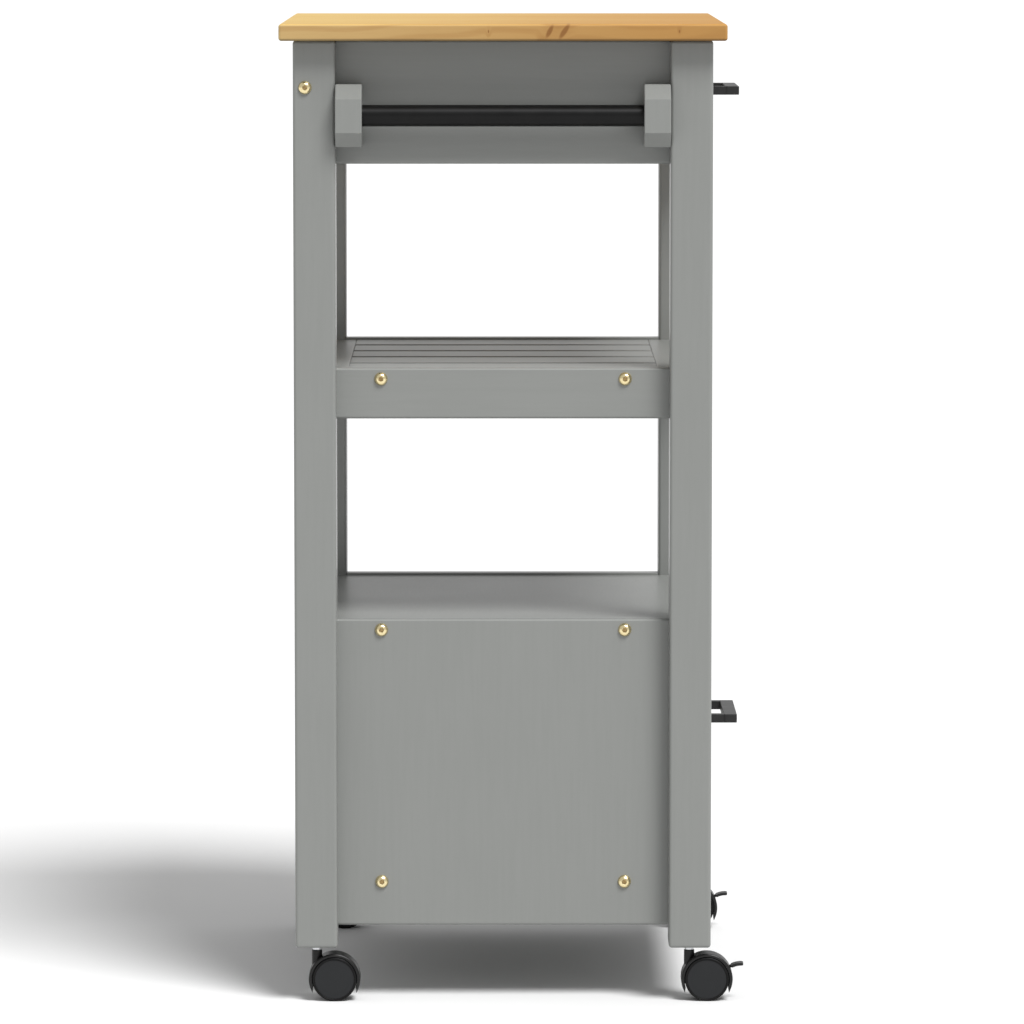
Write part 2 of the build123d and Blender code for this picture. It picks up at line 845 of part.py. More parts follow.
def brake_lever():
    """The foot lever: a hub with trunnions, a narrow tongue and a wide curved paddle."""
    hub = lever_pivot(lever_hub_radius, lever_tongue_half)
    hub = hub + lever_pivot(lever_trunnion_radius, hood_web_half)
    start = Vector(lever_pivot_forward, lever_pivot_up)
    joint = Vector(*lever_paddle_start)
    edge = (joint - start).normalized().rotate(Axis.Z, 90) * (lever_tongue_thickness / 2)
    reach = (joint - start) * tongue_into_paddle
    corners = [start + edge, start + reach + edge, start + reach - edge, start - edge]
    tongue = profile_prism([(corner.X, corner.Y) for corner in corners], lever_tongue_half)
    return hub + tongue + lever_paddle()


def lever_paddle():
    """The paddle, a strip of even thickness that curves up and levels out."""
    half = lever_thickness / 2
    line = (lever_paddle_start, lever_paddle_crest, lever_paddle_tip)
    top = [(0, -forward, up + half) for forward, up in line]
    under = [(0, -forward, up - half) for forward, up in reversed(line)]
    upper = ThreePointArc(*top)
    lower = ThreePointArc(*under)
    outline = make_face([upper, Line(top[2], under[0]), lower, Line(under[2], top[0])])
    paddle = extrude(outline, lever_half_width, dir=(1, 0, 0), both=True)
    tip_edges = paddle.edges().filter_by(Axis.Z).sort_by(Axis.Y)[:2]
    return fillet(tip_edges, lever_tip_rounding)


def wheel(side):
    """One wheel: a tread, a disc set back inside its rim and a hollow inner side."""
    inner = wheel_inner_face
    outer = wheel_inner_face + wheel_width
    body = rod((side * inner, 0, 0), (side, 0, 0), wheel_radius, wheel_width)
    body = fillet(body.edges().filter_by(GeomType.CIRCLE), wheel_edge_round)
    recess = rod((side * outer, 0, 0), (-side, 0, 0), wheel_radius - wheel_rim, wheel_recess)
    hollow_depth = wheel_width - wheel_recess - wheel_disc_thickness
    hollow = rod((side * inner, 0, 0), (side, 0, 0), wheel_radius - wheel_wall, hollow_depth)
    hollow = hollow - rod((side * inner, 0, 0), (side, 0, 0), wheel_hub_radius, hollow_depth)
    bore_length = wheel_width - wheel_recess - axle_end_gap
    bore = rod((side * inner, 0, 0), (side, 0, 0), axle_radius, bore_length)
    return body - recess - hollow - bore


def axle():
    """The pin pressed into both wheels, which turns in the hood."""
    half = wheel_inner_face + wheel_width - wheel_recess - 2 * axle_end_gap
    return round_prism(0, 0, axle_radius, half)


def stem(side, end):
    """The steel stem: a pin in the housing, a shoulder on it and a shank in the leg."""
    x, y = side * leg_x, end * leg_y
    shoulder = housing_top + stem_thrust_gap
    pin = rod((x, y, shoulder), (0, 0, -1), stem_pin_radius, stem_pin_depth)
    shank = rod((x, y, shoulder), (0, 0, 1), stem_radius, caster_height + stem_grip - shoulder)
    shank = chamfer(far_rim(shank, (0, 0, 1)), stem_chamfer)
    return pin + shank


def caster_socket(side, end):
    """The sleeve in a leg's end that grips the stem."""
    base = (side * leg_x, end * leg_y, caster_height)
    sleeve = rod(base, (0, 0, 1), socket_radius, socket_depth)
    return sleeve - rod(base, (0, 0, 1), stem_radius, stem_grip + 2 * hole_end_gap)


def save_caster(name, side, end_name):
    """Writes the nodes of one caster, at its place under a leg."""
    place = Pos(side * leg_x, axle_y[end_name], axle_z)
    braked = end_name == "front"
    save("hood_" + name, place * hood(braked))
    save("wheels_" + name, *[place * wheel(way) for way in SIDES.values()])
    save("axle_" + name, place * axle())
    if braked:
        save("brake_lever_" + name, place * brake_lever())


# ---------------------------------------------------------------- the whole cart
def save_frame():
    """Writes the nodes of the frame, each drilled for the fasteners that meet it."""
    holes = [dowel_hole(*spot) for spot in dowel_spots()]
    holes += [bolt_hole(*spot) for spot in bolt_spots()]
    holes += [nut_hole(*spot) for spot in nut_spots()]
    holes += [wood_screw(*spot, hole_clearance) for spot in wood_screw_spots()]
    holes += track_screw_holes()
    save("worktop", drilled(worktop(), holes))
    rear_apron = cross_board(rear_apron_y, rail_thickness, apron_bottom, leg_top, timber_rounding)
    save("rear_apron", drilled(rear_apron, holes))
    rail = cross_board(front_board_y, rail_thickness, front_rail_bottom, front_rail_top, timber_rounding)
    save("front_rail", drilled(rail, holes))
    plinth = cross_board(plinth_y, rail_thickness, cabinet_side_bottom, cabinet_base_bottom, timber_rounding)
    save("plinth_rail", drilled(plinth, holes))
    back = cross_board(back_panel_y, back_panel_thickness, cabinet_floor, cabinet_ceiling, panel_rounding)
    save("cabinet_back", drilled(back, holes))
    save("cabinet_top", drilled(flat_board(cabinet_ceiling), holes))
    save("cabinet_base", drilled(flat_board(cabinet_base_bottom), holes))
    for end_name, end in ENDS.items():
        save("shelf_board_" + end_name, drilled(long_shelf_board(end), holes))
        save("towel_bracket_" + end_name, drilled(towel_bracket(end), holes))
        for side_name, side in SIDES.items():
            save("leg_" + end_name + "_" + side_name, drilled(leg(side, end), holes))
    save("shelf_slats", *[drilled(shelf_slat(index), holes) for index in range(slat_count)])
    save("worktop_cleats", *[drilled(worktop_cleat(side), holes) for side in SIDES.values()])
    for side_name, side in SIDES.items():
        save("side_apron_" + side_name, drilled(side_board(side, apron_bottom, leg_top), holes))
        save("shelf_rail_" + side_name, drilled(side_board(side, shelf_rail_bottom, shelf_rail_top), holes))
        panel = side_board(side, cabinet_side_bottom, cabinet_top_level)
        save("cabinet_side_" + side_name, drilled(panel, holes))
    save("towel_bar", towel_bar())


def save_fasteners():
    """Writes the groups of fasteners and the fixed half of the runners."""
    corners = [(side, end) for side in SIDES.values() for end in ENDS.values()]
    levels = (upper_runner_level, lower_runner_level)
    save("frame_dowels", *[dowel(*spot) for spot in dowel_spots()])
    save("frame_bolts", *[bolt(*spot) for spot in bolt_spots()])
    save("barrel_nuts", *[nut(*spot) for spot in nut_spots()])
    save("wood_screws", *[wood_screw(*spot) for spot in wood_screw_spots()])
    save("runner_tracks", *[runner_track(side, level) for level in levels for side in SIDES.values()])
    save("runner_screws", *[screw for level in levels for screw in track_screws(level)])
    save("caster_sockets", *[caster_socket(*corner) for corner in corners])
    save("caster_stems", *[stem(*corner) for corner in corners])


os.makedirs("parts", exist_ok=True)
save_frame()
save_fasteners()
save_drawer(
    "upper_drawer",
    upper_front_bottom,
    upper_front_top,
    upper_box_bottom,
    upper_box_height,
    upper_handle_level,
)
save_drawer(
    "lower_drawer",
    lower_front_bottom,
    lower_front_top,
    lower_box_bottom,
    lower_box_height,
    lower_handle_level,
)
for side_name, side in SIDES.items():
    for end_name in ENDS:
        save_caster(end_name + "_" + side_name, side, end_name)
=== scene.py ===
import math

import bpy
import numpy as np
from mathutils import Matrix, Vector


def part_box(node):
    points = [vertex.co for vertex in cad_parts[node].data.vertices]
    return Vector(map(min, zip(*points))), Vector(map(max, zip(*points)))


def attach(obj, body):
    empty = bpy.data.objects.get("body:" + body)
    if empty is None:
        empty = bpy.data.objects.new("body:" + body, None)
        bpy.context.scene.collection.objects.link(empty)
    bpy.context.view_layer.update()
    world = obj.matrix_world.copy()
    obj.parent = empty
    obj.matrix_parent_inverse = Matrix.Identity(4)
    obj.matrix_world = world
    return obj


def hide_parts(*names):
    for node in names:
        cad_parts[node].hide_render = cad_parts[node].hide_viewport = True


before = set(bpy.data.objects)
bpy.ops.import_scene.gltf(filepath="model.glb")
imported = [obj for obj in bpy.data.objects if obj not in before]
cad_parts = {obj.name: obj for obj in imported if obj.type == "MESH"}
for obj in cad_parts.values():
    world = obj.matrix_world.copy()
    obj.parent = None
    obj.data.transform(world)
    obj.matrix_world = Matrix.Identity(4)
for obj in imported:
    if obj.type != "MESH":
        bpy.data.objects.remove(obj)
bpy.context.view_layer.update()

# A kitchen island cart: grey painted pine frame, clear pine worktop, black towel
# rail and handles, brass bolts and black twin-wheel casters. Metres, +Z up, the
# front faces -Y and the towel rail is on the -X end.

SIDES = {"left": -1, "right": 1}
ENDS = {"front": -1, "rear": 1}
CORNERS = [(end, side) for end in ENDS for side in SIDES]
TAU = 2 * math.pi
WELD_GRID = 1e7
SOLID_GRID = 1e6


# ---------------- surfaces
def quads_of(rows, columns, closed):
    """Corner numbers of the quads of a rows by columns grid, numbered row by row."""
    j = np.arange(columns if closed else columns - 1)
    i, j = [grid.ravel() for grid in np.meshgrid(np.arange(rows - 1), j, indexing="ij")]
    here, below, beside = i * columns, (i + 1) * columns, (j + 1) % columns
    return np.stack([here + j, below + j, below + beside, here + beside], 1)


class Surface:
    """Points, a normal for every point, and quads, which several grids may add to."""

    def __init__(self):
        self.points, self.normals, self.quads, self.count = [], [], [], 0

    def add(self, points, normals, closed=False):
        """Adds a grid of points with its normals. Faces turn to agree with the normals. In a
        closed grid each row runs back to its start."""
        quads = quads_of(*points.shape[:2], closed)
        flat, away = points.reshape(-1, 3), normals.reshape(-1, 3)
        across = flat[quads[:, 2]] - flat[quads[:, 0]]
        other = flat[quads[:, 3]] - flat[quads[:, 1]]
        facing = np.einsum("ij,ij->i", np.cross(across, other), away[quads].sum(1))
        quads = np.where((facing < 0)[:, None], quads[:, ::-1], quads)
        self.points.append(flat)
        self.normals.append(away)
        self.quads.append(quads + self.count)
        self.count += len(flat)
        return self

    def cap(self, ring, normal):
        """Closes a ring of points with a fan to its middle."""
        fan = np.stack([ring, np.broadcast_to(ring.mean(0), ring.shape)])
        return self.add(fan, np.broadcast_to(normal, fan.shape), closed=True)

    def join(self, other):
        """Adds all of another surface."""
        self.quads += [quads + self.count for quads in other.quads]
        self.points += other.points
        self.normals += other.normals
        self.count += other.count
        return self

    def moved(self, offset):
        """The same surface, shifted."""
        return self.turned(np.eye(3), offset)

    def turned(self, matrix, offset=(0, 0, 0)):
        """The same surface with a rotation applied to points and normals, then shifted."""
        matrix = np.array(matrix, float)
        copy = Surface()
        copy.points = [points @ matrix.T + np.array(offset) for points in self.points]
        copy.normals = [normals @ matrix.T for normals in self.normals]
        mirrored = np.linalg.det(matrix) < 0
        copy.quads = [quads[:, ::-1] if mirrored else quads for quads in self.quads]
        copy.count = self.count
        return copy


def mesh_of(name, surface):
    """A mesh with coincident points merged, flattened quads cut to triangles and exact normals."""
    points, normals = np.concatenate(surface.points), np.concatenate(surface.normals)
    quads = np.concatenate(surface.quads)
    places = np.round(points * WELD_GRID).astype(np.int64)
    _, first, merged = np.unique(places, axis=0, return_index=True, return_inverse=True)
    merged = merged.ravel()
    corners = merged[quads]
    kept = corners != np.roll(corners, -1, axis=1)
    kept &= (corners[:, 0] != corners[:, 2])[:, None] & (corners[:, 1] != corners[:, 3])[:, None]
    kept &= (kept.sum(1) >= 3)[:, None]
    totals = kept.sum(1)
    totals = totals[totals > 0]
    loops, loop_normals = corners[kept], normals[quads][kept]
    mesh = bpy.data.meshes.new(name)
    mesh.vertices.add(len(first))
    mesh.vertices.foreach_set("co", points[first].astype(np.float32).ravel())
    mesh.loops.add(len(loops))
    mesh.loops.foreach_set("vertex_index", loops.astype(np.int32))
    mesh.polygons.add(len(totals))
    mesh.polygons.foreach_set("loop_start", (np.cumsum(totals) - totals).astype(np.int32))
    mesh.polygons.foreach_set("loop_total", totals.astype(np.int32))
    mesh.update(calc_edges=True)
    mesh.polygons.foreach_set("use_smooth", np.ones(len(totals), bool))
    lengths = np.linalg.norm(loop_normals, axis=1, keepdims=True)
    mesh.normals_split_custom_set((loop_normals / np.maximum(lengths, 1e-9)).tolist())
    return mesh


def piece(name, surface, body, material, nodes=(), board=0.0):
    """A finished piece that rides on a body and stands for CAD nodes. board shifts its grain."""
    mesh = mesh_of(name, surface)
    number = mesh.attributes.new("board", "FLOAT", "POINT")
    number.data.foreach_set("value", np.full(len(mesh.vertices), board, np.float32))
    mesh.materials.append(material)
    made = bpy.data.objects.new(name, mesh)
    bpy.context.scene.collection.objects.link(made)
    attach(made, body)
    if nodes:
        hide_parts(*nodes)


def corner_arcs(steps):
    """Angles round a rectangle's four rounded corners, and which corner each belongs to."""
    sweep = np.linspace(0, math.pi / 2, steps + 1)
    angles = np.concatenate([sweep + k * math.pi / 2 for k in range(4)])
    signs = np.repeat([[1, 1], [-1, 1], [-1, -1], [1, -1]], steps + 1, axis=0)
    return angles, signs


def tipped(steps):
    """Angles from straight down to level and from level to straight up, and whether each
    belongs to the low or the high rim."""
    tips = [np.linspace(-math.pi / 2, 0, steps + 1), np.linspace(0, math.pi / 2, steps + 1)]
    return np.concatenate(tips), np.repeat([-1, 1], steps + 1)


def rounded_block(low, high, radius, steps=5):
    """A box whose every edge and corner has one radius. A point is a corner of the box
    drawn in by the radius, plus the radius times a direction: the first parameter turns
    the direction round the Z axis, the second tips it from straight down to straight up."""
    low, high = np.array(low, float), np.array(high, float)
    middle, half = (low + high) / 2, (high - low) / 2 - radius
    angles, signs = corner_arcs(steps)
    tips, ends = tipped(steps)
    flat, rise = np.cos(tips)[:, None], np.sin(tips)[:, None]
    normals = np.stack([flat * np.cos(angles), flat * np.sin(angles), rise + 0 * angles], -1)
    core = np.empty_like(normals)
    core[..., :2] = signs * half[:2]
    core[..., 2] = ends[:, None] * half[2]
    points = middle + core + radius * normals
    caps = np.zeros((2, 1, len(angles), 3)) + middle
    caps[0, ..., 2], caps[1, ..., 2] = low[2], high[2]
    up = np.zeros((2, 1, len(angles), 3))
    up[0, ..., 2], up[1, ..., 2] = -1, 1
    points = np.concatenate([caps[0], points, caps[1]])
    normals = np.concatenate([up[0], normals, up[1]])
    return Surface().add(points, normals, closed=True)


SECTION_AXES = {"X": (1, 2, 0), "Y": (2, 0, 1), "Z": (0, 1, 2)}


def board(low, high, axis, radii, steps=5):
    """A board cut off square. Its section is a rectangle whose four corners have their own
    radii: a corner's point is the rectangle's corner drawn in by the radius, plus the radius
    times a direction that turns through a quarter circle. The section is carried straight
    along one axis. The corners come in the order ++, -+, --, +- of the next two axes."""
    low, high = np.array(low, float), np.array(high, float)
    across, up, along = SECTION_AXES[axis]
    middle, half = (low + high) / 2, (high - low) / 2
    angles, signs = corner_arcs(steps)
    radius = np.repeat(radii, steps + 1)[:, None]
    turn = np.stack([np.cos(angles), np.sin(angles)], -1)
    outline = signs * (half[[across, up]] - radius) + radius * turn
    count = len(angles)
    rows = np.zeros((6, count, 3)) + middle
    rows[1:5, :, across] = middle[across] + outline[:, 0]
    rows[1:5, :, up] = middle[up] + outline[:, 1]
    rows[:3, :, along], rows[3:, :, along] = low[along], high[along]
    normals = np.zeros((6, count, 3))
    normals[:2, :, along], normals[4:, :, along] = -1, 1
    normals[2:4, :, across], normals[2:4, :, up] = turn[:, 0], turn[:, 1]
    return Surface().add(rows, normals, closed=True)


AXES = {
    "Z": [[1, 0, 0], [0, 1, 0], [0, 0, 1]],
    "X": [[0, 0, 1], [1, 0, 0], [0, 1, 0]],
    "-X": [[0, 0, -1], [-1, 0, 0], [0, 1, 0]],
    "Y": [[0, 1, 0], [0, 0, 1], [1, 0, 0]],
}


def lathe(profile, axis, steps):
    """A profile of (radius, height, turn) points carried round an axis. turn is the
    normal's angle in the profile's plane, 0 pointing outwards and 90 along the axis."""
    radius, height, turn = [np.array(column, float)[:, None] for column in zip(*profile)]
    turn = np.radians(turn)
    angle = np.linspace(0, TAU, steps, endpoint=False)[None]
    out, along = np.cos(turn), np.sin(turn)
    points = np.stack([radius * np.cos(angle), radius * np.sin(angle), height + 0 * angle], -1)
    normals = np.stack([out * np.cos(angle), out * np.sin(angle), along + 0 * angle], -1)
    return Surface().add(points, normals, closed=True).turned(AXES[axis])


def arc(centre, radius, start, stop, steps):
    """Profile points on an arc between two angles in degrees, with its normals outwards."""
    turns = [(turn, math.radians(turn)) for turn in np.linspace(start, stop, steps + 1)]
    x, y = centre
    return [(x + radius * math.cos(t), y + radius * math.sin(t), turn) for turn, t in turns]


def lines(*corners):
    """Straight stretches of profile from corner to corner. The outside is on the right of
    the way they run, so a stretch's normal is a quarter turn back from its direction."""
    profile = []
    for start, stop in zip(corners, corners[1:]):
        turn = math.degrees(math.atan2(stop[1] - start[1], stop[0] - start[0])) - 90
        profile += [(*start, turn), (*stop, turn)]
    return profile


def edges_of(outline):
    """An outline's points in the turning sense that puts its inside on the left, and the
    outward normal of the edge that starts at each point."""
    outline = np.array(outline, float)
    following = np.roll(outline, -1, axis=0)
    area = (outline[:, 0] * following[:, 1] - following[:, 0] * outline[:, 1]).sum()
    outline = outline if area > 0 else outline[::-1]
    run = np.roll(outline, -1, axis=0) - outline
    return outline, np.stack([run[:, 1], -run[:, 0]], -1) / np.linalg.norm(run, axis=1, keepdims=True)


def prism(outline, low, high, axis_rows):
    """A flat outline carried straight between two heights, with sharp edges. axis_rows
    holds the directions of the outline's two coordinates and of the height."""
    outline, away = edges_of(outline)
    surface = Surface()
    for start, stop, normal in zip(outline, np.roll(outline, -1, axis=0), away):
        wall = np.array([[[*start, low], [*start, high]], [[*stop, low], [*stop, high]]])
        surface.add(wall, np.broadcast_to([*normal, 0.0], wall.shape))
    for height, sign in ((low, -1), (high, 1)):
        surface.cap(np.column_stack([outline, np.full(len(outline), height)]), [0.0, 0.0, sign])
    return surface.turned(np.array(axis_rows, float).T)


# ---------------- shader maths
def both_ways(operation):
    """An operator's two methods: a value and another, and another and the value."""
    def forward(self, other):
        return self._math(operation, other)

    def reflected(self, other):
        return self._math(operation, first=other)

    return forward, reflected


class Value:
    """A shader socket. Operators add Math nodes, or Vector Math nodes on a vector."""

    def __init__(self, shader, socket, vector=False):
        self.shader, self.socket, self.vector = shader, socket, vector

    def _math(self, operation, *others, first=None):
        values = [self, *others] if first is None else [first, self]
        kind = "ShaderNodeVectorMath" if self.vector else "ShaderNodeMath"
        made = self.shader.node(kind, {"operation": operation}, dict(enumerate(values)))
        return made.out(0, self.vector)

    __add__, __radd__ = both_ways("ADD")
    __sub__, __rsub__ = both_ways("SUBTRACT")
    __mul__, __rmul__ = both_ways("MULTIPLY")
    __truediv__, __rtruediv__ = both_ways("DIVIDE")
    __pow__, __rpow__ = both_ways("POWER")

    def swing(self, amount):
        """A noise's swing about its middle, up to half the amount either way."""
        return (self - 0.5) * amount

    def clamp(self):
        return self.shader.node("ShaderNodeClamp", {}, {0: self}).out(0)

    def sine(self):
        return self._math("SINE")

    def absolute(self):
        return self._math("ABSOLUTE")

    def fraction(self):
        return self._math("FRACT")

    def between(self, low, high):
        """0 below low, 1 above high, with a smooth step between."""
        inputs = {"Value": self, "From Min": low, "From Max": high}
        return self.shader.node("ShaderNodeMapRange", {"interpolation_type": "SMOOTHSTEP"}, inputs).out(0)


class Node:
    """A node that has its settings and inputs."""

    def __init__(self, shader, raw):
        self.shader, self.raw = shader, raw

    def out(self, key, vector=False):
        return Value(self.shader, self.raw.outputs[key], vector)


class Shader:
    """One material's nodes round a Principled BSDF."""

    def __init__(self, name, **constants):
        self.material = bpy.data.materials.new(name)
        self.material.use_nodes = True
        self.tree = self.material.node_tree
        self.surface = next(n for n in self.tree.nodes if n.type == "BSDF_PRINCIPLED")
        for socket, value in constants.items():
            self.surface.inputs[socket.replace("_", " ")].default_value = value

    def node(self, kind, settings, inputs):
        """Adds a node: settings first, then a value or a link for each named socket."""
        raw = self.tree.nodes.new(kind)
        for name, value in settings.items():
            setattr(raw, name, value)
        for key, value in inputs.items():
            if isinstance(value, Value):
                self.tree.links.new(value.socket, raw.inputs[key])
            else:
                raw.inputs[key].default_value = value
        return Node(self, raw)

    def place(self):
        """Where the point is on the cart at rest, in metres."""
        return self.node("ShaderNodeTexCoord", {}, {}).out("Object", True)

    def parts(self, vector):
        """The three parts of a vector."""
        split = self.node("ShaderNodeSeparateXYZ", {}, {0: vector})
        return [split.out(k) for k in range(3)]

    def joined(self, x, y, z):
        return self.node("ShaderNodeCombineXYZ", {}, {0: x, 1: y, 2: z}).out(0, True)

    def by_grain(self, axis):
        """The place's two parts across the grain, then its part along it."""
        parts = dict(zip("XYZ", self.parts(self.place())))
        along = parts.pop(axis)
        return [*parts.values(), along]

    def noise(self, vector, scale, detail=2.0, roughness=0.5):
        """Noise from 0 to 1, with a middle of 0.5. Scale is in waves to the metre."""
        inputs = {"Vector": vector, "Scale": scale, "Detail": detail, "Roughness": roughness}
        return self.node("ShaderNodeTexNoise", {}, inputs).out(0)

    def attribute(self, name):
        return self.node("ShaderNodeAttribute", {"attribute_name": name}, {}).out("Fac")

    def mix(self, factor, first, second):
        """A mix of two colours."""
        first, second = [(*c, 1.0) if isinstance(c, tuple) else c for c in (first, second)]
        return self.node("ShaderNodeMix", {"data_type": "RGBA"}, {0: factor, 6: first, 7: second}).out(2)

    def tinted(self, colour, amount, tint):
        """A colour multiplied by a tint, by as much as the amount says."""
        settings = {"data_type": "RGBA", "blend_type": "MULTIPLY"}
        return self.node("ShaderNodeMix", settings, {0: amount, 6: colour, 7: (*tint, 1.0)}).out(2)

    def scaled(self, colour, factor):
        """A colour times a number."""
        settings = {"operation": "SCALE"}
        return self.node("ShaderNodeVectorMath", settings, {0: colour, 3: factor}).out(0, True)

    def bump(self, height, distance, strength=1.0):
        inputs = {"Height": height, "Distance": distance, "Strength": strength}
        return self.node("ShaderNodeBump", {}, inputs).out(0, True)

    def set(self, **sockets):
        """Links what varies over the surface."""
        for name, value in sockets.items():
            self.tree.links.new(value.socket, self.surface.inputs[name.replace("_", " ")])
        return self.material


def grey(value):
    """A neutral colour."""
    return (value, value, value)


# ---------------- finishes
GRAIN_STRETCH = 18.0
BOARD_STEP = (0.37, 0.59, 1.31)


def stretched(shader, axis):
    """The place on a board, squeezed along its grain, so that noise drawn on it runs with
    the grain. Each board's own number moves it elsewhere in the pattern."""
    number = shader.attribute("board")
    one, other, along = [part + number * step for part, step in zip(shader.by_grain(axis), BOARD_STEP)]
    return shader.joined(one, other, along * (1 / GRAIN_STRETCH))


PAINT_LIGHT = (0.192, 0.198, 0.189)
PAINT_DARK = (0.184, 0.190, 0.181)
PAINT_PORE = (0.145, 0.150, 0.142)
PORE_SHOW = 0.10
PAINT_RELIEF = 0.00007


def painted_pine(axis):
    """Grey satin paint over pine: faint open grain, brush streaks and slow cloudiness."""
    name = "grey_paint_" + axis.lower()
    shader = Shader(name, Specular_IOR_Level=0.4, Coat_Weight=0.4, Coat_Roughness=0.28)
    grain = stretched(shader, axis)
    streaks = shader.noise(grain, scale=260.0, detail=3.0, roughness=0.55)
    fibres = shader.noise(grain, scale=900.0, roughness=0.6)
    cloud = shader.noise(shader.place(), scale=9.0)
    pores = shader.noise(grain, scale=1500.0).between(0.62, 0.78)
    tone = (streaks * 0.55 + cloud * 0.45).between(0.32, 0.68)
    colour = shader.mix(tone, PAINT_DARK, PAINT_LIGHT)
    colour = shader.mix(pores * PORE_SHOW, colour, PAINT_PORE)
    height = streaks * 0.55 + fibres * 0.3 - pores * 0.35
    return shader.set(
        Base_Color=colour,
        Roughness=0.42 + cloud.swing(0.10) + fibres.swing(0.08),
        Normal=shader.bump(height, PAINT_RELIEF),
    )


PINE_PALE = (0.600, 0.450, 0.205)
PINE_GOLD = (0.450, 0.242, 0.070)
# Tint of the worktop's top face: part of the painted light that makes the top brighter than its edges.
PINE_TOP_LIGHT_TINT = (1.0, 0.93, 0.66)
PINE_LATE = (0.300, 0.140, 0.036)
PINE_KNOT = (0.165, 0.055, 0.012)
PINE_RELIEF = 0.00010
STAVE_WIDTH = 0.052
STAVE_SHIFT = 0.6
FIBRE_SQUEEZE = 0.055
RINGS = 40.0
RING_SPREAD = 1.1
RING_LEAN = 9.0
RING_SQUEEZE = 0.35
RING_WANDER = 0.9
# The cut edges' share of the top face's tone: painted shade that leaves the top brighter than the edges.
EDGE_PAINTED_SHADE = 0.84
# How much darker the lower arris is painted, as painted shade.
UNDER_PAINTED_SHADE = 0.55
LIT_TOP_BAND = (0.0016, 0.0001)
UNDER_SHADE_BAND = (0.0004, 0.0026)

# Each knot at the rail end: its place along Y, its size and its slant.
KNOTS = [(-0.0320, 0.0026, 0.45), (-0.0450, 0.0030, 0.60), (0.0220, 0.0007, 0.0), (-0.1480, 0.0006, 0.0)]
KNOT_HEIGHT = 2.4
KNOT_RISE = 0.001
KNOT_REACH = (0.010, 0.060)
KNOT_HEART = (0.55, 1.15)
KNOT_HALO = (0.8, 5.0)
KNOT_BEND = 0.10


def clear_pine():
    """Oiled pine staves glued edge to edge: each has its own tone, growth rings that run
    with it, and knots at the rail end. A knot is a slanted ellipse that shades off into the
    rings round it. The top face is tinted and painted lighter than the cut edges as painted
    light, and the lower arris is painted darker still as painted shade."""
    shader = Shader("clear_pine", Specular_IOR_Level=0.22)
    x, y, z = shader.parts(shader.place())
    lanes = (x + 0.5) * (1 / STAVE_WIDTH)
    stave = shader.node("ShaderNodeMath", {"operation": "FLOOR"}, {0: lanes}).out(0)
    lane = lanes.fraction()
    settings = {"noise_dimensions": "1D"}
    own = shader.node("ShaderNodeTexWhiteNoise", settings, {"W": stave + 0.5}).out("Value")
    low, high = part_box("worktop")
    middle = (low.z + high.z) / 2
    near_end = 1.0 - x.between(*[low.x + reach for reach in KNOT_REACH])
    heart, halo = 0.0 * x, 0.0 * x
    for centre, size, slant in KNOTS:
        across = (y - centre + (z - middle) * slant) / size
        up = (z - middle - KNOT_RISE) / (size * KNOT_HEIGHT)
        away = (across * across + up * up) ** 0.5
        heart = heart + (1.0 - away.between(*KNOT_HEART))
        halo = halo + (1.0 - away.between(*KNOT_HALO)) * 0.6
    heart, halo = (heart * near_end).clamp(), (halo * near_end).clamp()
    squeezed = shader.joined(x, (y + own * 3.7) * FIBRE_SQUEEZE, z + own)
    wander = shader.noise(shader.joined(x, (y + own * 5.1) * RING_SQUEEZE, z), scale=11.0)
    radius = (lane - 0.5 + own * STAVE_SHIFT) * RING_SPREAD + z * RING_LEAN
    radius = radius + wander.swing(RING_WANDER) + halo * KNOT_BEND
    late = ((radius * RINGS).sine() * 0.5 + 0.5).between(0.45, 1.0)
    fibres = shader.noise(squeezed, scale=560.0, detail=3.0, roughness=0.6)
    cloud = shader.noise(shader.place(), scale=7.0)
    drift = (high.y - y) / (high.y - low.y)
    warmth = (drift * 0.62 + own * 0.16 + cloud * 0.22).between(0.05, 0.95)
    colour = shader.mix(warmth, PINE_PALE, PINE_GOLD)
    colour = shader.mix((late * 0.26 + fibres.swing(0.34) + halo * 0.34).clamp(), colour, PINE_LATE)
    colour = shader.mix(heart * 0.8, colour, PINE_KNOT)
    joint = (lane - 0.5).absolute().between(0.490, 0.498)
    colour = shader.mix(joint * 0.3, colour, PINE_LATE)
    # Painted light: the top face is tinted and kept at full tone, while the cut edges are darker.
    top = z.between(*[high.z - drop for drop in LIT_TOP_BAND])
    # Painted shade along the worktop's lower arris.
    under = 1.0 - z.between(*[low.z + rise for rise in UNDER_SHADE_BAND])
    colour = shader.tinted(colour, top, PINE_TOP_LIGHT_TINT)
    tone = (EDGE_PAINTED_SHADE + top * (1 - EDGE_PAINTED_SHADE)) * (1.0 - under * UNDER_PAINTED_SHADE)
    height = fibres * 0.6 - late * 0.35 - heart * 0.3
    return shader.set(
        Base_Color=shader.scaled(colour, tone),
        Roughness=0.50 + fibres.swing(0.16) - heart * 0.06,
        Normal=shader.bump(height, PINE_RELIEF),
    )


BARE_PALE = (0.70, 0.52, 0.32)
BARE_DARK = (0.50, 0.31, 0.15)
BARE_STRETCH = 16
BARE_RINGS = (330.0, 410.0)
BARE_WANDER = 9.0


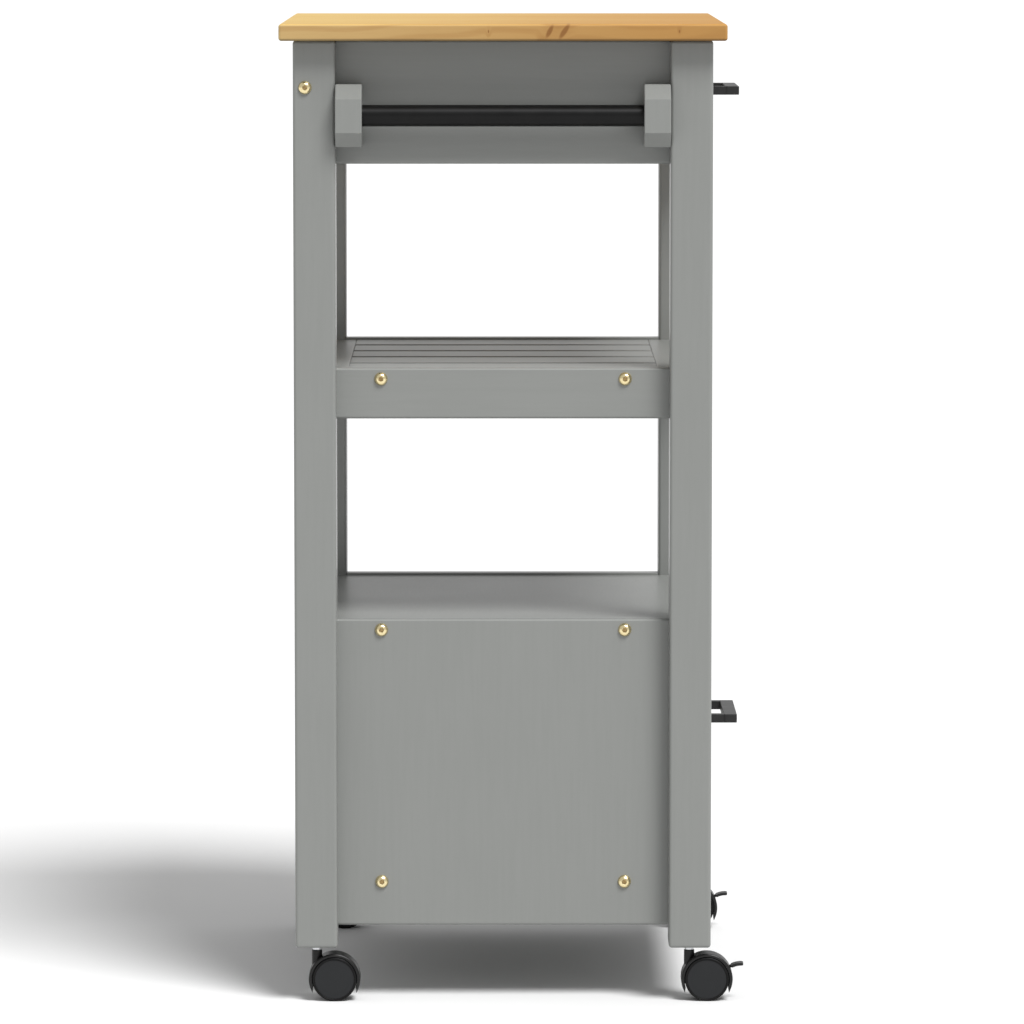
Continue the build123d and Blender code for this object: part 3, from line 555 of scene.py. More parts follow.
def bare_pine(axis):
    """Planed pine without a finish, for the inside of the drawers and the dowels."""
    shader = Shader("bare_pine_" + axis.lower(), Specular_IOR_Level=0.25)
    one, other, along = shader.by_grain(axis)
    squeezed = shader.joined(one, other, along * (1 / BARE_STRETCH))
    wander = shader.noise(squeezed, scale=26.0) * BARE_WANDER
    bands = (one * BARE_RINGS[0] + other * BARE_RINGS[1] + wander).sine() * 0.5 + 0.5
    fibres = shader.noise(squeezed, scale=700.0, detail=3.0, roughness=0.6)
    colour = shader.mix(bands.between(0.4, 1.0) * 0.4 + fibres.swing(0.3), BARE_PALE, BARE_DARK)
    rough = 0.6 + fibres.swing(0.2)
    return shader.set(Base_Color=colour, Roughness=rough, Normal=shader.bump(fibres, PINE_RELIEF))


PEEL_RELIEF = 0.00004


def black_coat(name, dark, light, gloss):
    """Black powder coat on steel: a fine orange-peel and slightly uneven gloss."""
    shader = Shader(name, Specular_IOR_Level=gloss)
    peel = shader.noise(shader.place(), scale=1100.0)
    cloud = shader.noise(shader.place(), scale=60.0, detail=3.0)
    colour = shader.mix(cloud, grey(dark), grey(light))
    rough = 0.34 + cloud.swing(0.12)
    return shader.set(Base_Color=colour, Roughness=rough, Normal=shader.bump(peel, PEEL_RELIEF))


METAL_RELIEF = 0.00002


def brass_plate(name, bright, dull):
    """Pale yellow brass plate with a trace of tarnish."""
    shader = Shader(name, Metallic=1.0)
    cloud = shader.noise(shader.place(), scale=420.0, detail=3.0, roughness=0.55)
    marks = shader.noise(shader.place(), scale=2600.0)
    return shader.set(
        Base_Color=shader.mix(cloud.between(0.3, 0.75), bright, dull),
        Roughness=0.24 + cloud.swing(0.16),
        Normal=shader.bump(marks, METAL_RELIEF),
    )


ZINC_DULL = (0.60, 0.61, 0.63)
ZINC_BRIGHT = (0.72, 0.73, 0.74)
ROLLED = 0.04


def zinc_plate(name, axis):
    """Zinc plated steel with rolling marks along one axis."""
    shader = Shader(name, Metallic=1.0)
    parts = zip("XYZ", shader.parts(shader.place()))
    marks = shader.joined(*[part * (ROLLED if letter == axis else 1) for letter, part in parts])
    marks = shader.noise(marks, scale=1800.0, detail=3.0, roughness=0.6)
    bloom = shader.noise(shader.place(), scale=90.0, detail=3.0)
    return shader.set(
        Base_Color=shader.mix(bloom.between(0.3, 0.7), ZINC_DULL, ZINC_BRIGHT),
        Roughness=0.30 + marks.swing(0.2),
        Normal=shader.bump(marks, METAL_RELIEF),
    )


SPARK_RELIEF = 0.00003


def moulded_plastic(name, dark, light, roughness, gloss):
    """Moulded black nylon: fine spark-eroded texture and slow change in gloss."""
    shader = Shader(name, Specular_IOR_Level=gloss)
    spark = shader.noise(shader.place(), scale=2400.0, roughness=0.6)
    cloud = shader.noise(shader.place(), scale=130.0)
    rough = roughness + spark.swing(0.14) + cloud.swing(0.08)
    colour = shader.mix(cloud, dark, light)
    return shader.set(Base_Color=colour, Roughness=rough, Normal=shader.bump(spark, SPARK_RELIEF))


PAINTS = {axis: painted_pine(axis) for axis in "XYZ"}
BARE = {axis: bare_pine(axis) for axis in "XYZ"}
CLEAR_PINE = clear_pine()
# Two copies of one black coat: the rail's is painted darker as painted shade, and the handles' lighter as
# painted light.
RAIL_COAT = black_coat("rail_black_coat", 0.003, 0.006, 0.17)
HANDLE_COAT = black_coat("handle_black_coat", 0.016, 0.022, 0.28)
BRASS = brass_plate("brass_plate", (0.88, 0.76, 0.46), (0.80, 0.66, 0.36))
# A much darker brass for the bolts' hexagon sockets, as painted shade in their hollows.
SOCKET_SHADE_BRASS = brass_plate("socket_shade_brass", (0.40, 0.28, 0.13), (0.28, 0.19, 0.08))
BRIGHT = zinc_plate("bright_zinc", "Z")
RUNNER = zinc_plate("runner_zinc", "Y")
HOOD_PLASTIC = moulded_plastic("hood_nylon", grey(0.006), grey(0.010), 0.34, 0.30)
TREAD_PLASTIC = moulded_plastic("tread_nylon", grey(0.004), grey(0.007), 0.42, 0.15)
DISC_DARK, DISC_LIGHT = (0.0150, 0.0158, 0.0168), (0.0175, 0.0183, 0.0195)
DISC_PLASTIC = moulded_plastic("disc_nylon", DISC_DARK, DISC_LIGHT, 0.50, 0.20)


# ---------------- timbers
EDGE = 0.0025
LEG_EDGE = 0.0030
FINE_EDGE = 0.0012
SLAT_EDGE = 0.0010
ARRIS = 0.0003
SLAT_COUNT = 5
SLAT_GAP = 0.014


def timber(name, surface, grain, number, body="frame"):
    """A painted board that stands for the node of its name."""
    piece(name + "_timber", surface, body, PAINTS[grain], [name], number)


def side_board(name, side, grain, number):
    """A board between the two legs of one end: only its outer long edges are rounded."""
    radii = [ARRIS, ARRIS, EDGE, EDGE] if side < 0 else [EDGE, EDGE, ARRIS, ARRIS]
    timber(name, board(*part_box(name), "Y", radii), grain, number)


def make_timbers():
    """The worktop, the frame, the cabinet and the drawer fronts."""
    top = rounded_block(*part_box("worktop"), EDGE)
    piece("worktop_timber", top, "frame", CLEAR_PINE, ["worktop"])
    for number, (end, side) in enumerate(CORNERS):
        name = f"leg_{end}_{side}"
        timber(name, rounded_block(*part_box(name), LEG_EDGE), "Z", number + 1)
    for number, (name, side) in enumerate(SIDES.items()):
        side_board("side_apron_" + name, side, "Y", number + 11)
        side_board("shelf_rail_" + name, side, "Y", number + 13)
        side_board("cabinet_side_" + name, side, "Z", number + 15)
    across = ("rear_apron", "front_rail", "plinth_rail", "cabinet_top", "cabinet_base")
    for number, name in enumerate(across):
        timber(name, board(*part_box(name), "X", [EDGE] * 4), "X", number + 21)
    timber("cabinet_back", board(*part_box("cabinet_back"), "X", [ARRIS] * 4), "X", 26)
    front, rear = "shelf_board_front", "shelf_board_rear"
    timber(front, board(*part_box(front), "X", [SLAT_EDGE, EDGE, EDGE, SLAT_EDGE]), "X", 31)
    timber(rear, board(*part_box(rear), "X", [EDGE, SLAT_EDGE, SLAT_EDGE, EDGE]), "X", 32)
    for number, drawer in enumerate(("upper_drawer", "lower_drawer")):
        name = drawer + "_front"
        timber(name, rounded_block(*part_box(name), FINE_EDGE), "X", number + 34, drawer)


def make_slats():
    """The shelf's slats, side by side with even gaps. The first one stands for their node."""
    low, high = [np.array(corner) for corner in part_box("shelf_slats")]
    width = (high[0] - low[0] - (SLAT_COUNT - 1) * SLAT_GAP) / SLAT_COUNT
    for index in range(SLAT_COUNT):
        start = low[0] + index * (width + SLAT_GAP)
        surface = rounded_block([start, *low[1:]], [start + width, *high[1:]], SLAT_EDGE, 3)
        nodes = ["shelf_slats"] if index == 0 else []
        piece(f"shelf_slat_{index + 1}", surface, "frame", PAINTS["Y"], nodes, 41 + index)


# ---------------- towel rail
BRACKET_CHAMFER = 0.013
BAR_EDGE = 0.0006


def eased_prism(outline, low, high, radius, axis_rows, steps=3):
    """An outline carried between two heights with its two rims eased by a quarter round:
    the outline is drawn in by radius times (1 - cosine) of an angle that runs from level to
    upright as the height nears each end by radius times (1 - sine). axis_rows holds the
    directions of the outline's two coordinates and of the height."""
    outline, away = edges_of(outline)
    before = np.roll(away, 1, axis=0)
    mitre = (away + before) / (1 + (away * before).sum(1, keepdims=True))
    tips, ends = tipped(steps)
    heights = np.where(ends < 0, low + radius, high - radius) + radius * np.sin(tips)
    out, up = np.cos(tips)[:, None, None], np.sin(tips)[:, None, None]
    corners = outline[None] - mitre[None] * (radius * (1 - out))
    surface = Surface()
    for k in range(len(outline)):
        wall = np.stack([corners[:, k], corners[:, (k + 1) % len(outline)]], 1)
        one = np.ones(wall.shape[:2] + (1,))
        points = np.concatenate([wall, heights[:, None, None] * one], -1)
        surface.add(points, np.concatenate([out * away[k] + 0 * wall, up * one], -1))
    for row, sign in ((0, -1), (-1, 1)):
        rim = np.column_stack([corners[row], np.full(len(outline), heights[row])])
        surface.cap(rim, [0.0, 0.0, sign])
    return surface.turned(np.array(axis_rows, float).T)


def make_towel_rail():
    """Two blocks with cut corners and the bar let into them."""
    for number, end in enumerate(ENDS):
        name = "towel_bracket_" + end
        low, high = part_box(name)
        cut = BRACKET_CHAMFER
        outline = [(low.x + cut, low.z), (high.x, low.z), (high.x, high.z), (low.x + cut, high.z)]
        outline += [(low.x, high.z - cut), (low.x, low.z + cut)]
        surface = eased_prism(outline, low.y, high.y, FINE_EDGE, [[1, 0, 0], [0, 0, 1], [0, 1, 0]])
        piece(name + "_block", surface, "frame", PAINTS["Z"], [name], 51 + number)
    low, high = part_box("towel_bar")
    middle, radius, half = (low + high) / 2, (high.z - low.z) / 2, (high.y - low.y) / 2
    ease = BAR_EDGE
    profile = lines((0, -half), (radius - ease, -half))
    profile += arc((radius - ease, ease - half), ease, -90, 0, 3)
    profile += arc((radius - ease, half - ease), ease, 0, 90, 3)
    profile += lines((radius - ease, half), (0, half))
    bar = lathe(profile, "Y", 72).moved(middle)
    piece("towel_rail", bar, "frame", RAIL_COAT, ["towel_bar"])


# ---------------- handles
HANDLE_POST = 0.008
HANDLE_DEPTH = 0.0125
HANDLE_EDGE = 0.0008
POST_LAP = 0.002


def make_handles():
    """Each handle is a grip and two posts, eased separately so that their faces stay flat."""
    for drawer in ("upper_drawer", "lower_drawer"):
        low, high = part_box(drawer + "_handle")
        grip_back = low.y + HANDLE_DEPTH
        surface = rounded_block(low, [high.x, grip_back, high.z], HANDLE_EDGE, 3)
        for start in (low.x, high.x - HANDLE_POST):
            near, far = [start, grip_back - POST_LAP, low.z], [start + HANDLE_POST, high.y, high.z]
            surface.join(rounded_block(near, far, HANDLE_EDGE, 3))
        piece(drawer + "_pull", surface, drawer, HANDLE_COAT, [drawer + "_handle"])


# ---------------- bolts
BOLT_HEAD_RADIUS = 0.006
BOLT_HEAD_HEIGHT = 0.0034
BOLT_DOME_HEIGHT = BOLT_HEAD_HEIGHT * 0.86
BOLT_DOME_REACH = BOLT_HEAD_RADIUS * 0.72
BOLT_DOME_STOP = 78
BOLT_DOME_STEPS = 8
BOLT_SOCKET = 0.0019
BOLT_SOCKET_DEPTH = 0.0020
BOLT_SOCKET_EASE = 0.0003
BOLT_SOCKET_POINT = 0.0004
BOLT_SHANK_RADIUS = 0.003
BOLT_TIP = 0.0008
BOLT_STEPS = 48
SHANK_STEPS = 24
BOLT_SPIN = [(0.35, 40), (0.2, 30)]


def rings(angle, rows):
    """A surface of rings round the Z axis, from rows of (radius, height, turn). The radius
    is a number or one for each angle. turn is the normal's angle, as in a lathe's profile."""
    points, normals = [], []
    for radius, height, turn in rows:
        radius = radius + 0 * angle
        out, up = math.cos(turn), math.sin(turn)
        points.append(np.stack([radius * np.cos(angle), radius * np.sin(angle), height + 0 * angle], -1))
        normals.append(np.stack([out * np.cos(angle), out * np.sin(angle), up + 0 * angle], -1))
    return Surface().add(np.stack(points), np.stack(normals), closed=True)


def bolt_head():
    """A button head seen along +Z, its base at the origin, and its hexagon socket. The
    socket's radius at an angle is its half width over the cosine of the angle from the
    middle of the nearest side. The dome is a quarter of an ellipse, cut off at the socket."""
    angle = np.linspace(0, TAU, BOLT_STEPS, endpoint=False)
    sector = (angle + math.pi / 6) % (math.pi / 3) - math.pi / 6
    hexagon = BOLT_SOCKET / np.cos(sector)
    rim, top, up = BOLT_HEAD_RADIUS, BOLT_HEAD_HEIGHT, math.pi / 2
    lip, floor = top - BOLT_SOCKET_EASE, top - BOLT_SOCKET_DEPTH
    rows = [(0, 0, -up), (rim, 0, -up), (rim, 0, 0)]
    for turn in np.radians(np.linspace(0, BOLT_DOME_STOP, BOLT_DOME_STEPS)):
        height = top - BOLT_DOME_HEIGHT * (1 - math.sin(turn))
        rows.append((rim - (1 - math.cos(turn)) * BOLT_DOME_REACH, height, turn))
    wide = hexagon + BOLT_SOCKET_EASE
    rows += [(wide, top, up), (wide, top, 1.5 * up), (hexagon, lip, 1.5 * up)]
    inside = [(hexagon, lip, math.pi), (hexagon, floor, math.pi), (hexagon, floor, up)]
    inside.append((0, floor - BOLT_SOCKET_POINT, up))
    return rings(angle, rows), rings(angle, inside)


def solids_of(node):
    """The low and high corners of each separate solid in a node. Points that share a
    triangle take the lowest label among them, again and again until nothing changes."""
    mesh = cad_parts[node].data
    co = np.empty(len(mesh.vertices) * 3, np.float32)
    mesh.vertices.foreach_get("co", co)
    co = co.reshape(-1, 3)
    _, welded = np.unique(np.round(co * SOLID_GRID).astype(np.int64), axis=0, return_inverse=True)
    welded = welded.ravel()
    mesh.calc_loop_triangles()
    corners = np.empty(len(mesh.loop_triangles) * 3, np.int32)
    mesh.loop_triangles.foreach_get("vertices", corners)
    triangles = welded[corners.reshape(-1, 3)]
    label = np.arange(welded.max() + 1)
    while True:
        lowest = label[triangles].min(1)
        new = label.copy()
        for k in range(3):
            np.minimum.at(new, triangles[:, k], lowest)
        new = new[new]
        if (new == label).all():
            break
        label = new
    owner = label[welded]
    boxes = [(co[owner == k].min(0), co[owner == k].max(0)) for k in np.unique(owner)]
    return sorted(boxes, key=lambda pair: tuple(np.round((pair[0] + pair[1]) / 2, 3)))


def make_bolts():
    """A head and shank at every bolt of the frame, each stopped at its own angle."""
    head, socket = bolt_head()
    surface, sockets = Surface(), Surface()
    for low, high in solids_of("frame_bolts"):
        middle = (low + high) / 2
        side, axis = (-1, "-X") if middle[0] < 0 else (1, "X")
        outer, inner = (low[0], high[0]) if side < 0 else (high[0], low[0])
        base = outer - side * BOLT_HEAD_HEIGHT
        place, length = [base, middle[1], middle[2]], abs(base - inner)
        spin = sum(step * round(at * count) for at, (step, count) in zip(middle[1:], BOLT_SPIN))
        turn = [[math.cos(spin), -math.sin(spin), 0], [math.sin(spin), math.cos(spin), 0], [0, 0, 1]]
        surface.join(head.turned(turn).turned(AXES[axis]).moved(place))
        sockets.join(socket.turned(turn).turned(AXES[axis]).moved(place))
        radius, tip = BOLT_SHANK_RADIUS, BOLT_SHANK_RADIUS - BOLT_TIP
        profile = lines((0, -length), (tip, -length), (radius, BOLT_TIP - length), (radius, 0), (0, 0))
        surface.join(lathe(profile, axis, SHANK_STEPS).moved(place))
    piece("brass_bolts", surface, "frame", BRASS, ["frame_bolts"])
    # The sockets take the darker brass as painted shade.
    piece("brass_bolt_sockets", sockets, "frame", SOCKET_SHADE_BRASS)


# ---------------- casters
WHEEL_RADIUS = 0.020
WHEEL_INNER = 0.0040
WHEEL_WIDTH = 0.0075
WHEEL_RIM = 0.0020
WHEEL_RECESS = 0.0006
WHEEL_EDGE = 0.0009
WHEEL_HOLLOW = 0.0044
WHEEL_WALL = 0.017
WHEEL_HUB = 0.005
WHEEL_STEPS = 96
RIM_EASE = 0.0003
RIM_LAP = 0.0004

# The cap's shallow dish: share of the rim's radius, depth and normal's angle.
DISC_DISH = [(0, 0.0004, 90), (0.5, 0.0003, 89), (0.86, 0.0001, 88)]
DISC_CREST = (0.0008, 0.00005, 92)
DISC_GAP = 0.0002
DISC_THICKNESS = 0.0010

HOOD_INNER = 0.0207
HOOD_OUTER = 0.0234
HOOD_HALF = 0.0112
HOOD_EDGE = 0.0016
EDGE_SHARE = 0.9
EDGE_TURNS = np.linspace(0, math.pi / 2, 6)
TRAIL = 0.016
TINE_TOP = 0.0075
TINE_DROP = 0.0122
TINE_ANGLE = math.asin(TINE_DROP / HOOD_OUTER)
TINE_INSIDE = HOOD_INNER + (HOOD_OUTER - HOOD_INNER) * 0.985
SHOULDER_ANGLE = math.asin(TINE_TOP / HOOD_INNER)
SLOT_START = math.pi - math.radians(31.0)
SLOT_STOP = math.pi - math.radians(18.2)
SLOT_HALF = 0.00185
FENDER_STEPS = (8, 60, 8, 16, 8)

HOUSING_RADIUS = 0.0047
HOUSING_TOP = 0.046
HOUSING_LOW = 0.009
HOUSING_EDGE = 0.0007
HOUSING_FOOT = (0.0015, 0.004)
HOUSING_BORE = 0.0026
HOUSING_FLOOR = 0.003
HOUSING_STEPS = 40

WEB_HALF = 0.0037
WEB_LAP = 0.0004
WEB_DROP = 0.005
WEB_STEPS = 60
PLATE_ROWS = [[0, 1, 0], [0, 0, 1], [1, 0, 0]]

LEVER_ROOM = math.radians(118)
LEVER_PIVOT = (0.0145, 0.0075)
LEVER_LINE = ((0.0228, 0.0110), (0.0266, 0.0124), (0.0330, 0.0129))
LEVER_HALF = 0.006
LEVER_THICKNESS = 0.0026
LEVER_EDGE = 0.0006
TONGUE_HALF = 0.0014
TONGUE_START = 0.25
TONGUE_STEPS = 12
PADDLE_START = 0.0221
PADDLE_FLARE = 0.0005
PADDLE_TIP = 0.0312
PADDLE_STEPS = 24
TIP_LENGTH = 0.0018
TIP_NARROWS = 0.35
TIP_THINS = 0.30
HUB_RADIUS = 0.003
HUB_STEPS = 28


def wheel_tread():
    """One wheel about the X axis, its inner face at X = 0: hollow back, tread and rim."""
    r, w, e, rim = WHEEL_RADIUS, WHEEL_WIDTH, WHEEL_EDGE, WHEEL_RADIUS - WHEEL_RIM
    seat = w - WHEEL_RECESS
    hub, wall, hollow = WHEEL_HUB, WHEEL_WALL, WHEEL_HOLLOW
    profile = lines((0, 0), (hub, 0), (hub, hollow), (wall, hollow), (wall, 0), (r - e, 0))
    profile += arc((r - e, e), e, -90, 0, 4)
    profile += arc((r - e, w - e), e, 0, 90, 4)
    ease = [(rim + RIM_EASE, w), (rim, w - RIM_EASE)]
    return profile + lines((r - e, w), *ease, (rim, seat), (rim - RIM_LAP, seat))


def wheel_disc():
    """The flat cap set in the rim, with a very shallow dish."""
    w, rim = WHEEL_WIDTH - WHEEL_RECESS, WHEEL_RADIUS - WHEEL_RIM
    inset, crest, turn = DISC_CREST
    edge = rim - DISC_GAP
    profile = [(rim * share, w - depth, angle) for share, depth, angle in DISC_DISH]
    profile += [(rim - inset, w + crest, turn), (edge, w - DISC_GAP, 60), (edge, w - DISC_THICKNESS, 0)]
    return profile + [(edge, w - DISC_THICKNESS, -90), (0, w - DISC_THICKNESS, -90)]


def wheel_pair(centre, profile):
    """A profile turned into both wheels of a caster."""
    surface = Surface()
    for side in SIDES.values():
        wheel = lathe(profile, "X" if side > 0 else "-X", WHEEL_STEPS)
        surface.join(wheel.moved([centre[0] + side * WHEEL_INNER, centre[1], centre[2]]))
    return surface


def hood_inside(around):
    """The fender's inner radius at an angle: it grows towards the outer one along a tine."""
    below = np.where(around < math.pi / 2, -around, around - math.pi)
    thin = np.clip((below - SHOULDER_ANGLE) / (TINE_ANGLE - SHOULDER_ANGLE), 0, 1)
    return HOOD_INNER + (TINE_INSIDE - HOOD_INNER) * thin


def hood_spots(x, radius, around, out, side, centre):
    """Points and normals of a strip across the fender at each angle round the axle."""
    x, radius, out, side, around = np.broadcast_arrays(x, radius, out, side, around[:, None])
    points = np.stack([x, radius * np.cos(around), radius * np.sin(around)], -1) + centre
    return points, np.stack([side, out * np.cos(around), out * np.sin(around)], -1)


def fender(centre, has_slot):
    """The arch over both wheels: a strip with eased outer edges, carried round the axle
    from one tine's tip over the top to the other's. A braked caster's has a slot in front."""
    stops = [-TINE_ANGLE, -SHOULDER_ANGLE, SLOT_START, SLOT_STOP]
    stops += [math.pi + SHOULDER_ANGLE, math.pi + TINE_ANGLE]
    stretches = zip(stops, stops[1:], FENDER_STEPS)
    around = [np.linspace(start, stop, steps)[:-1] for start, stop, steps in stretches]
    around = np.concatenate([*around, stops[-1:]])
    inside = hood_inside(around)
    eased = np.minimum(HOOD_EDGE, (HOOD_OUTER - inside) * EDGE_SHARE)[:, None]
    out, rise = np.cos(EDGE_TURNS), np.sin(EDGE_TURNS)
    surface = Surface()
    for sign in (-1, 1):
        x = sign * (HOOD_HALF - eased + eased * rise)
        surface.add(*hood_spots(x, HOOD_OUTER - eased + eased * out, around, out, sign * rise, centre))
        wall = np.stack([HOOD_OUTER - eased[:, 0], inside], 1)
        surface.add(*hood_spots(sign * HOOD_HALF, wall, around, 0.0, sign, centre))
        top = np.stack([sign * (HOOD_HALF - eased[:, 0]), np.full(len(around), sign * SLOT_HALF)], 1)
        surface.add(*hood_spots(top, HOOD_OUTER, around, 1.0, 0.0, centre))
        under = np.array([sign * HOOD_HALF, sign * SLOT_HALF])
        surface.add(*hood_spots(under, inside[:, None], around, -1.0, 0.0, centre))
    across = np.array([-SLOT_HALF, SLOT_HALF])
    spans = [around]
    if has_slot:
        before, after = around < SLOT_START + 1e-9, around > SLOT_STOP - 1e-9
        spans = [around[before], around[after]]
        cut = around[(around > SLOT_START - 1e-9) & (around < SLOT_STOP + 1e-9)]
        depth = np.array([HOOD_INNER, HOOD_OUTER])
        for sign in (-1, 1):
            surface.add(*hood_spots(sign * SLOT_HALF, depth, cut, 0.0, -sign, centre))
        for angle, way in ((SLOT_START, 1), (SLOT_STOP, -1)):
            points, _ = hood_spots(across[:, None], depth[None], np.full(2, angle), 0.0, 0.0, centre)
            surface.add(points, np.broadcast_to(end_normal(angle, way), points.shape))
    for span in spans:
        surface.add(*hood_spots(across, HOOD_OUTER, span, 1.0, 0.0, centre))
        surface.add(*hood_spots(across, hood_inside(span)[:, None], span, -1.0, 0.0, centre))
    return surface


def end_normal(angle, way):
    """The direction along the fender at an angle round the axle, forwards or back."""
    return [0.0, -way * math.sin(angle), way * math.cos(angle)]


def tip_caps(centre):
    """Small faces that close the two blunt tips of the fender."""
    ease, turns = (HOOD_OUTER - TINE_INSIDE) * EDGE_SHARE, EDGE_TURNS[::-1]
    edge = [HOOD_HALF - ease + ease * np.sin(turns), HOOD_OUTER - ease + ease * np.cos(turns)]
    right = np.concatenate([[[HOOD_HALF, TINE_INSIDE]], np.stack(edge, -1), [[SLOT_HALF, HOOD_OUTER]]])
    inner = [[-SLOT_HALF, TINE_INSIDE], [SLOT_HALF, TINE_INSIDE]]
    x, radius = np.concatenate([right, right[::-1] * [-1, 1], inner]).T
    surface = Surface()
    for angle, way in ((-TINE_ANGLE, -1), (math.pi + TINE_ANGLE, 1)):
        ring = np.stack([x, radius * math.cos(angle), radius * math.sin(angle)], -1) + centre
        surface.cap(ring, end_normal(angle, way))
    return surface


def stem_housing(centre):
    """The upright tube that the stem turns in, from low on the web to just under the leg."""
    top, low, r, e = HOUSING_TOP, WHEEL_RADIUS + HOUSING_LOW, HOUSING_RADIUS, HOUSING_EDGE
    inset, rise = HOUSING_FOOT
    floor = low + HOUSING_FLOOR
    profile = lines((0, low), (r - inset, low), (r, low + rise), (r, top - e))
    profile += arc((r - e, top - e), e, 0, 90, 4)
    profile += lines((r - e, top), (HOUSING_BORE, top), (HOUSING_BORE, floor), (0, floor))
    return lathe(profile, "Z", HOUSING_STEPS).moved([centre[0], centre[1] + TRAIL, 0])


def hood_web(centre, has_lever):
    """The plate between the wheels, a disc cut off just below the axle. A braked caster's
    is open in the middle in front, where the lever swings."""
    radius = HOOD_INNER + WEB_LAP
    drop = math.asin(WEB_DROP / radius)

    def plate(low, high, stop):
        """A slice of the plate between two places along X, its arc ending at an angle."""
        angles = np.linspace(-drop, stop, WEB_STEPS)
        outline = np.stack([radius * np.cos(angles), radius * np.sin(angles)], -1)
        if stop < math.pi:
            outline = np.concatenate([outline, [[outline[-1, 0], outline[0, 1]]]])
        return prism(outline + [centre[1], centre[2]], centre[0] + low, centre[0] + high, PLATE_ROWS)

    if not has_lever:
        return plate(-WEB_HALF, WEB_HALF, math.pi + drop)
    surface = plate(-WEB_HALF, -SLOT_HALF, math.pi + drop)
    surface.join(plate(SLOT_HALF, WEB_HALF, math.pi + drop))
    return surface.join(plate(-SLOT_HALF, SLOT_HALF, LEVER_ROOM))


def circle_through(one, two, three):
    """The centre and radius of the circle through three points."""
    (ax, ay), (bx, by), (cx, cy) = one, two, three
    twice = 2 * (ax * (by - cy) + bx * (cy - ay) + cx * (ay - by))
    squares = [px * px + py * py for px, py in (one, two, three)]
    x = (squares[0] * (by - cy) + squares[1] * (cy - ay) + squares[2] * (ay - by)) / twice
    y = (squares[0] * (cx - bx) + squares[1] * (ax - cx) + squares[2] * (bx - ax)) / twice
    return np.array([x, y]), math.hypot(ax - x, ay - y)


def lever_paddle(centre):
    """The foot lever: a tongue straight out from its hub, then a paddle whose middle line
    is the circle through three points, curving up and levelling out to a blunt tip. A point
    is the middle line's point plus an eased rectangle's two coordinates along the width
    and the lift there; the rectangle widens from the tongue to the paddle."""
    hub = np.array(LEVER_PIVOT)
    middle, radius = circle_through(*LEVER_LINE)
    ends = [math.atan2(*(np.array(spot) - middle)[::-1]) for spot in (LEVER_LINE[0], LEVER_LINE[-1])]
    bend = np.linspace(*ends, PADDLE_STEPS)
    curve = middle + radius * np.stack([np.cos(bend), np.sin(bend)], -1)
    straight = hub + (curve[0] - hub) * np.linspace(TONGUE_START, 1, TONGUE_STEPS)[:-1, None]
    forward, up = np.concatenate([straight, curve]).T
    path = np.stack([0 * forward, -forward, up], -1) + centre
    run = np.gradient(path, axis=0)
    run /= np.linalg.norm(run, axis=1, keepdims=True)
    across = np.broadcast_to([1.0, 0.0, 0.0], run.shape)
    lift = np.cross(run, across)
    wide = np.clip((forward - PADDLE_START) / PADDLE_FLARE, 0, 1)
    tip = np.clip((forward - PADDLE_TIP) / TIP_LENGTH, 0, 1)
    half_width = (TONGUE_HALF + (LEVER_HALF - TONGUE_HALF) * wide) * np.sqrt(1 - TIP_NARROWS * tip**2)
    half_thick = LEVER_THICKNESS / 2 * np.sqrt(1 - TIP_THINS * tip**2)
    angles, signs = corner_arcs(3)
    turn = np.stack([np.cos(angles), np.sin(angles)], -1)
    core = signs[None] * (np.stack([half_width, half_thick], -1)[:, None] - LEVER_EDGE)
    profile = core + LEVER_EDGE * turn[None]
    points = path[:, None] + profile[..., :1] * across[:, None] + profile[..., 1:] * lift[:, None]
    normals = turn[None, :, :1] * across[:, None] + turn[None, :, 1:] * lift[:, None]
    surface = Surface().add(points, normals, closed=True)
    for row, sign in ((0, -1), (-1, 1)):
        surface.cap(points[row], sign * run[row])
    r, half = HUB_RADIUS, TONGUE_HALF
    disc = lines((0, -half), (r, -half), (r, half), (0, half))
    return surface.join(lathe(disc, "X", HUB_STEPS).moved(np.array(centre) + [0, -hub[0], hub[1]]))


def make_casters():
    """Four casters; the two at the front have brake levers."""
    for end, side in CORNERS:
        tag, braked = f"{end}_{side}", end == "front"
        wheels, hood, lever = "wheels_" + tag, "hood_" + tag, "brake_lever_" + tag
        low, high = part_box(wheels)
        centre = np.array((low + high) / 2)
        treads, discs = wheel_pair(centre, wheel_tread()), wheel_pair(centre, wheel_disc())
        piece("treads_" + tag, treads, "wheel_pair_" + tag, TREAD_PLASTIC, [wheels])
        piece("discs_" + tag, discs, "wheel_pair_" + tag, DISC_PLASTIC)
        body = fender(centre, braked).join(tip_caps(centre))
        body.join(hood_web(centre, braked)).join(stem_housing(centre))
        piece("caster_hood_" + tag, body, "caster_" + tag, HOOD_PLASTIC, [hood])
        if braked:
            paddle = lever_paddle(centre)
            piece("foot_lever_" + side, paddle, "brake_" + side, HOOD_PLASTIC, [lever])


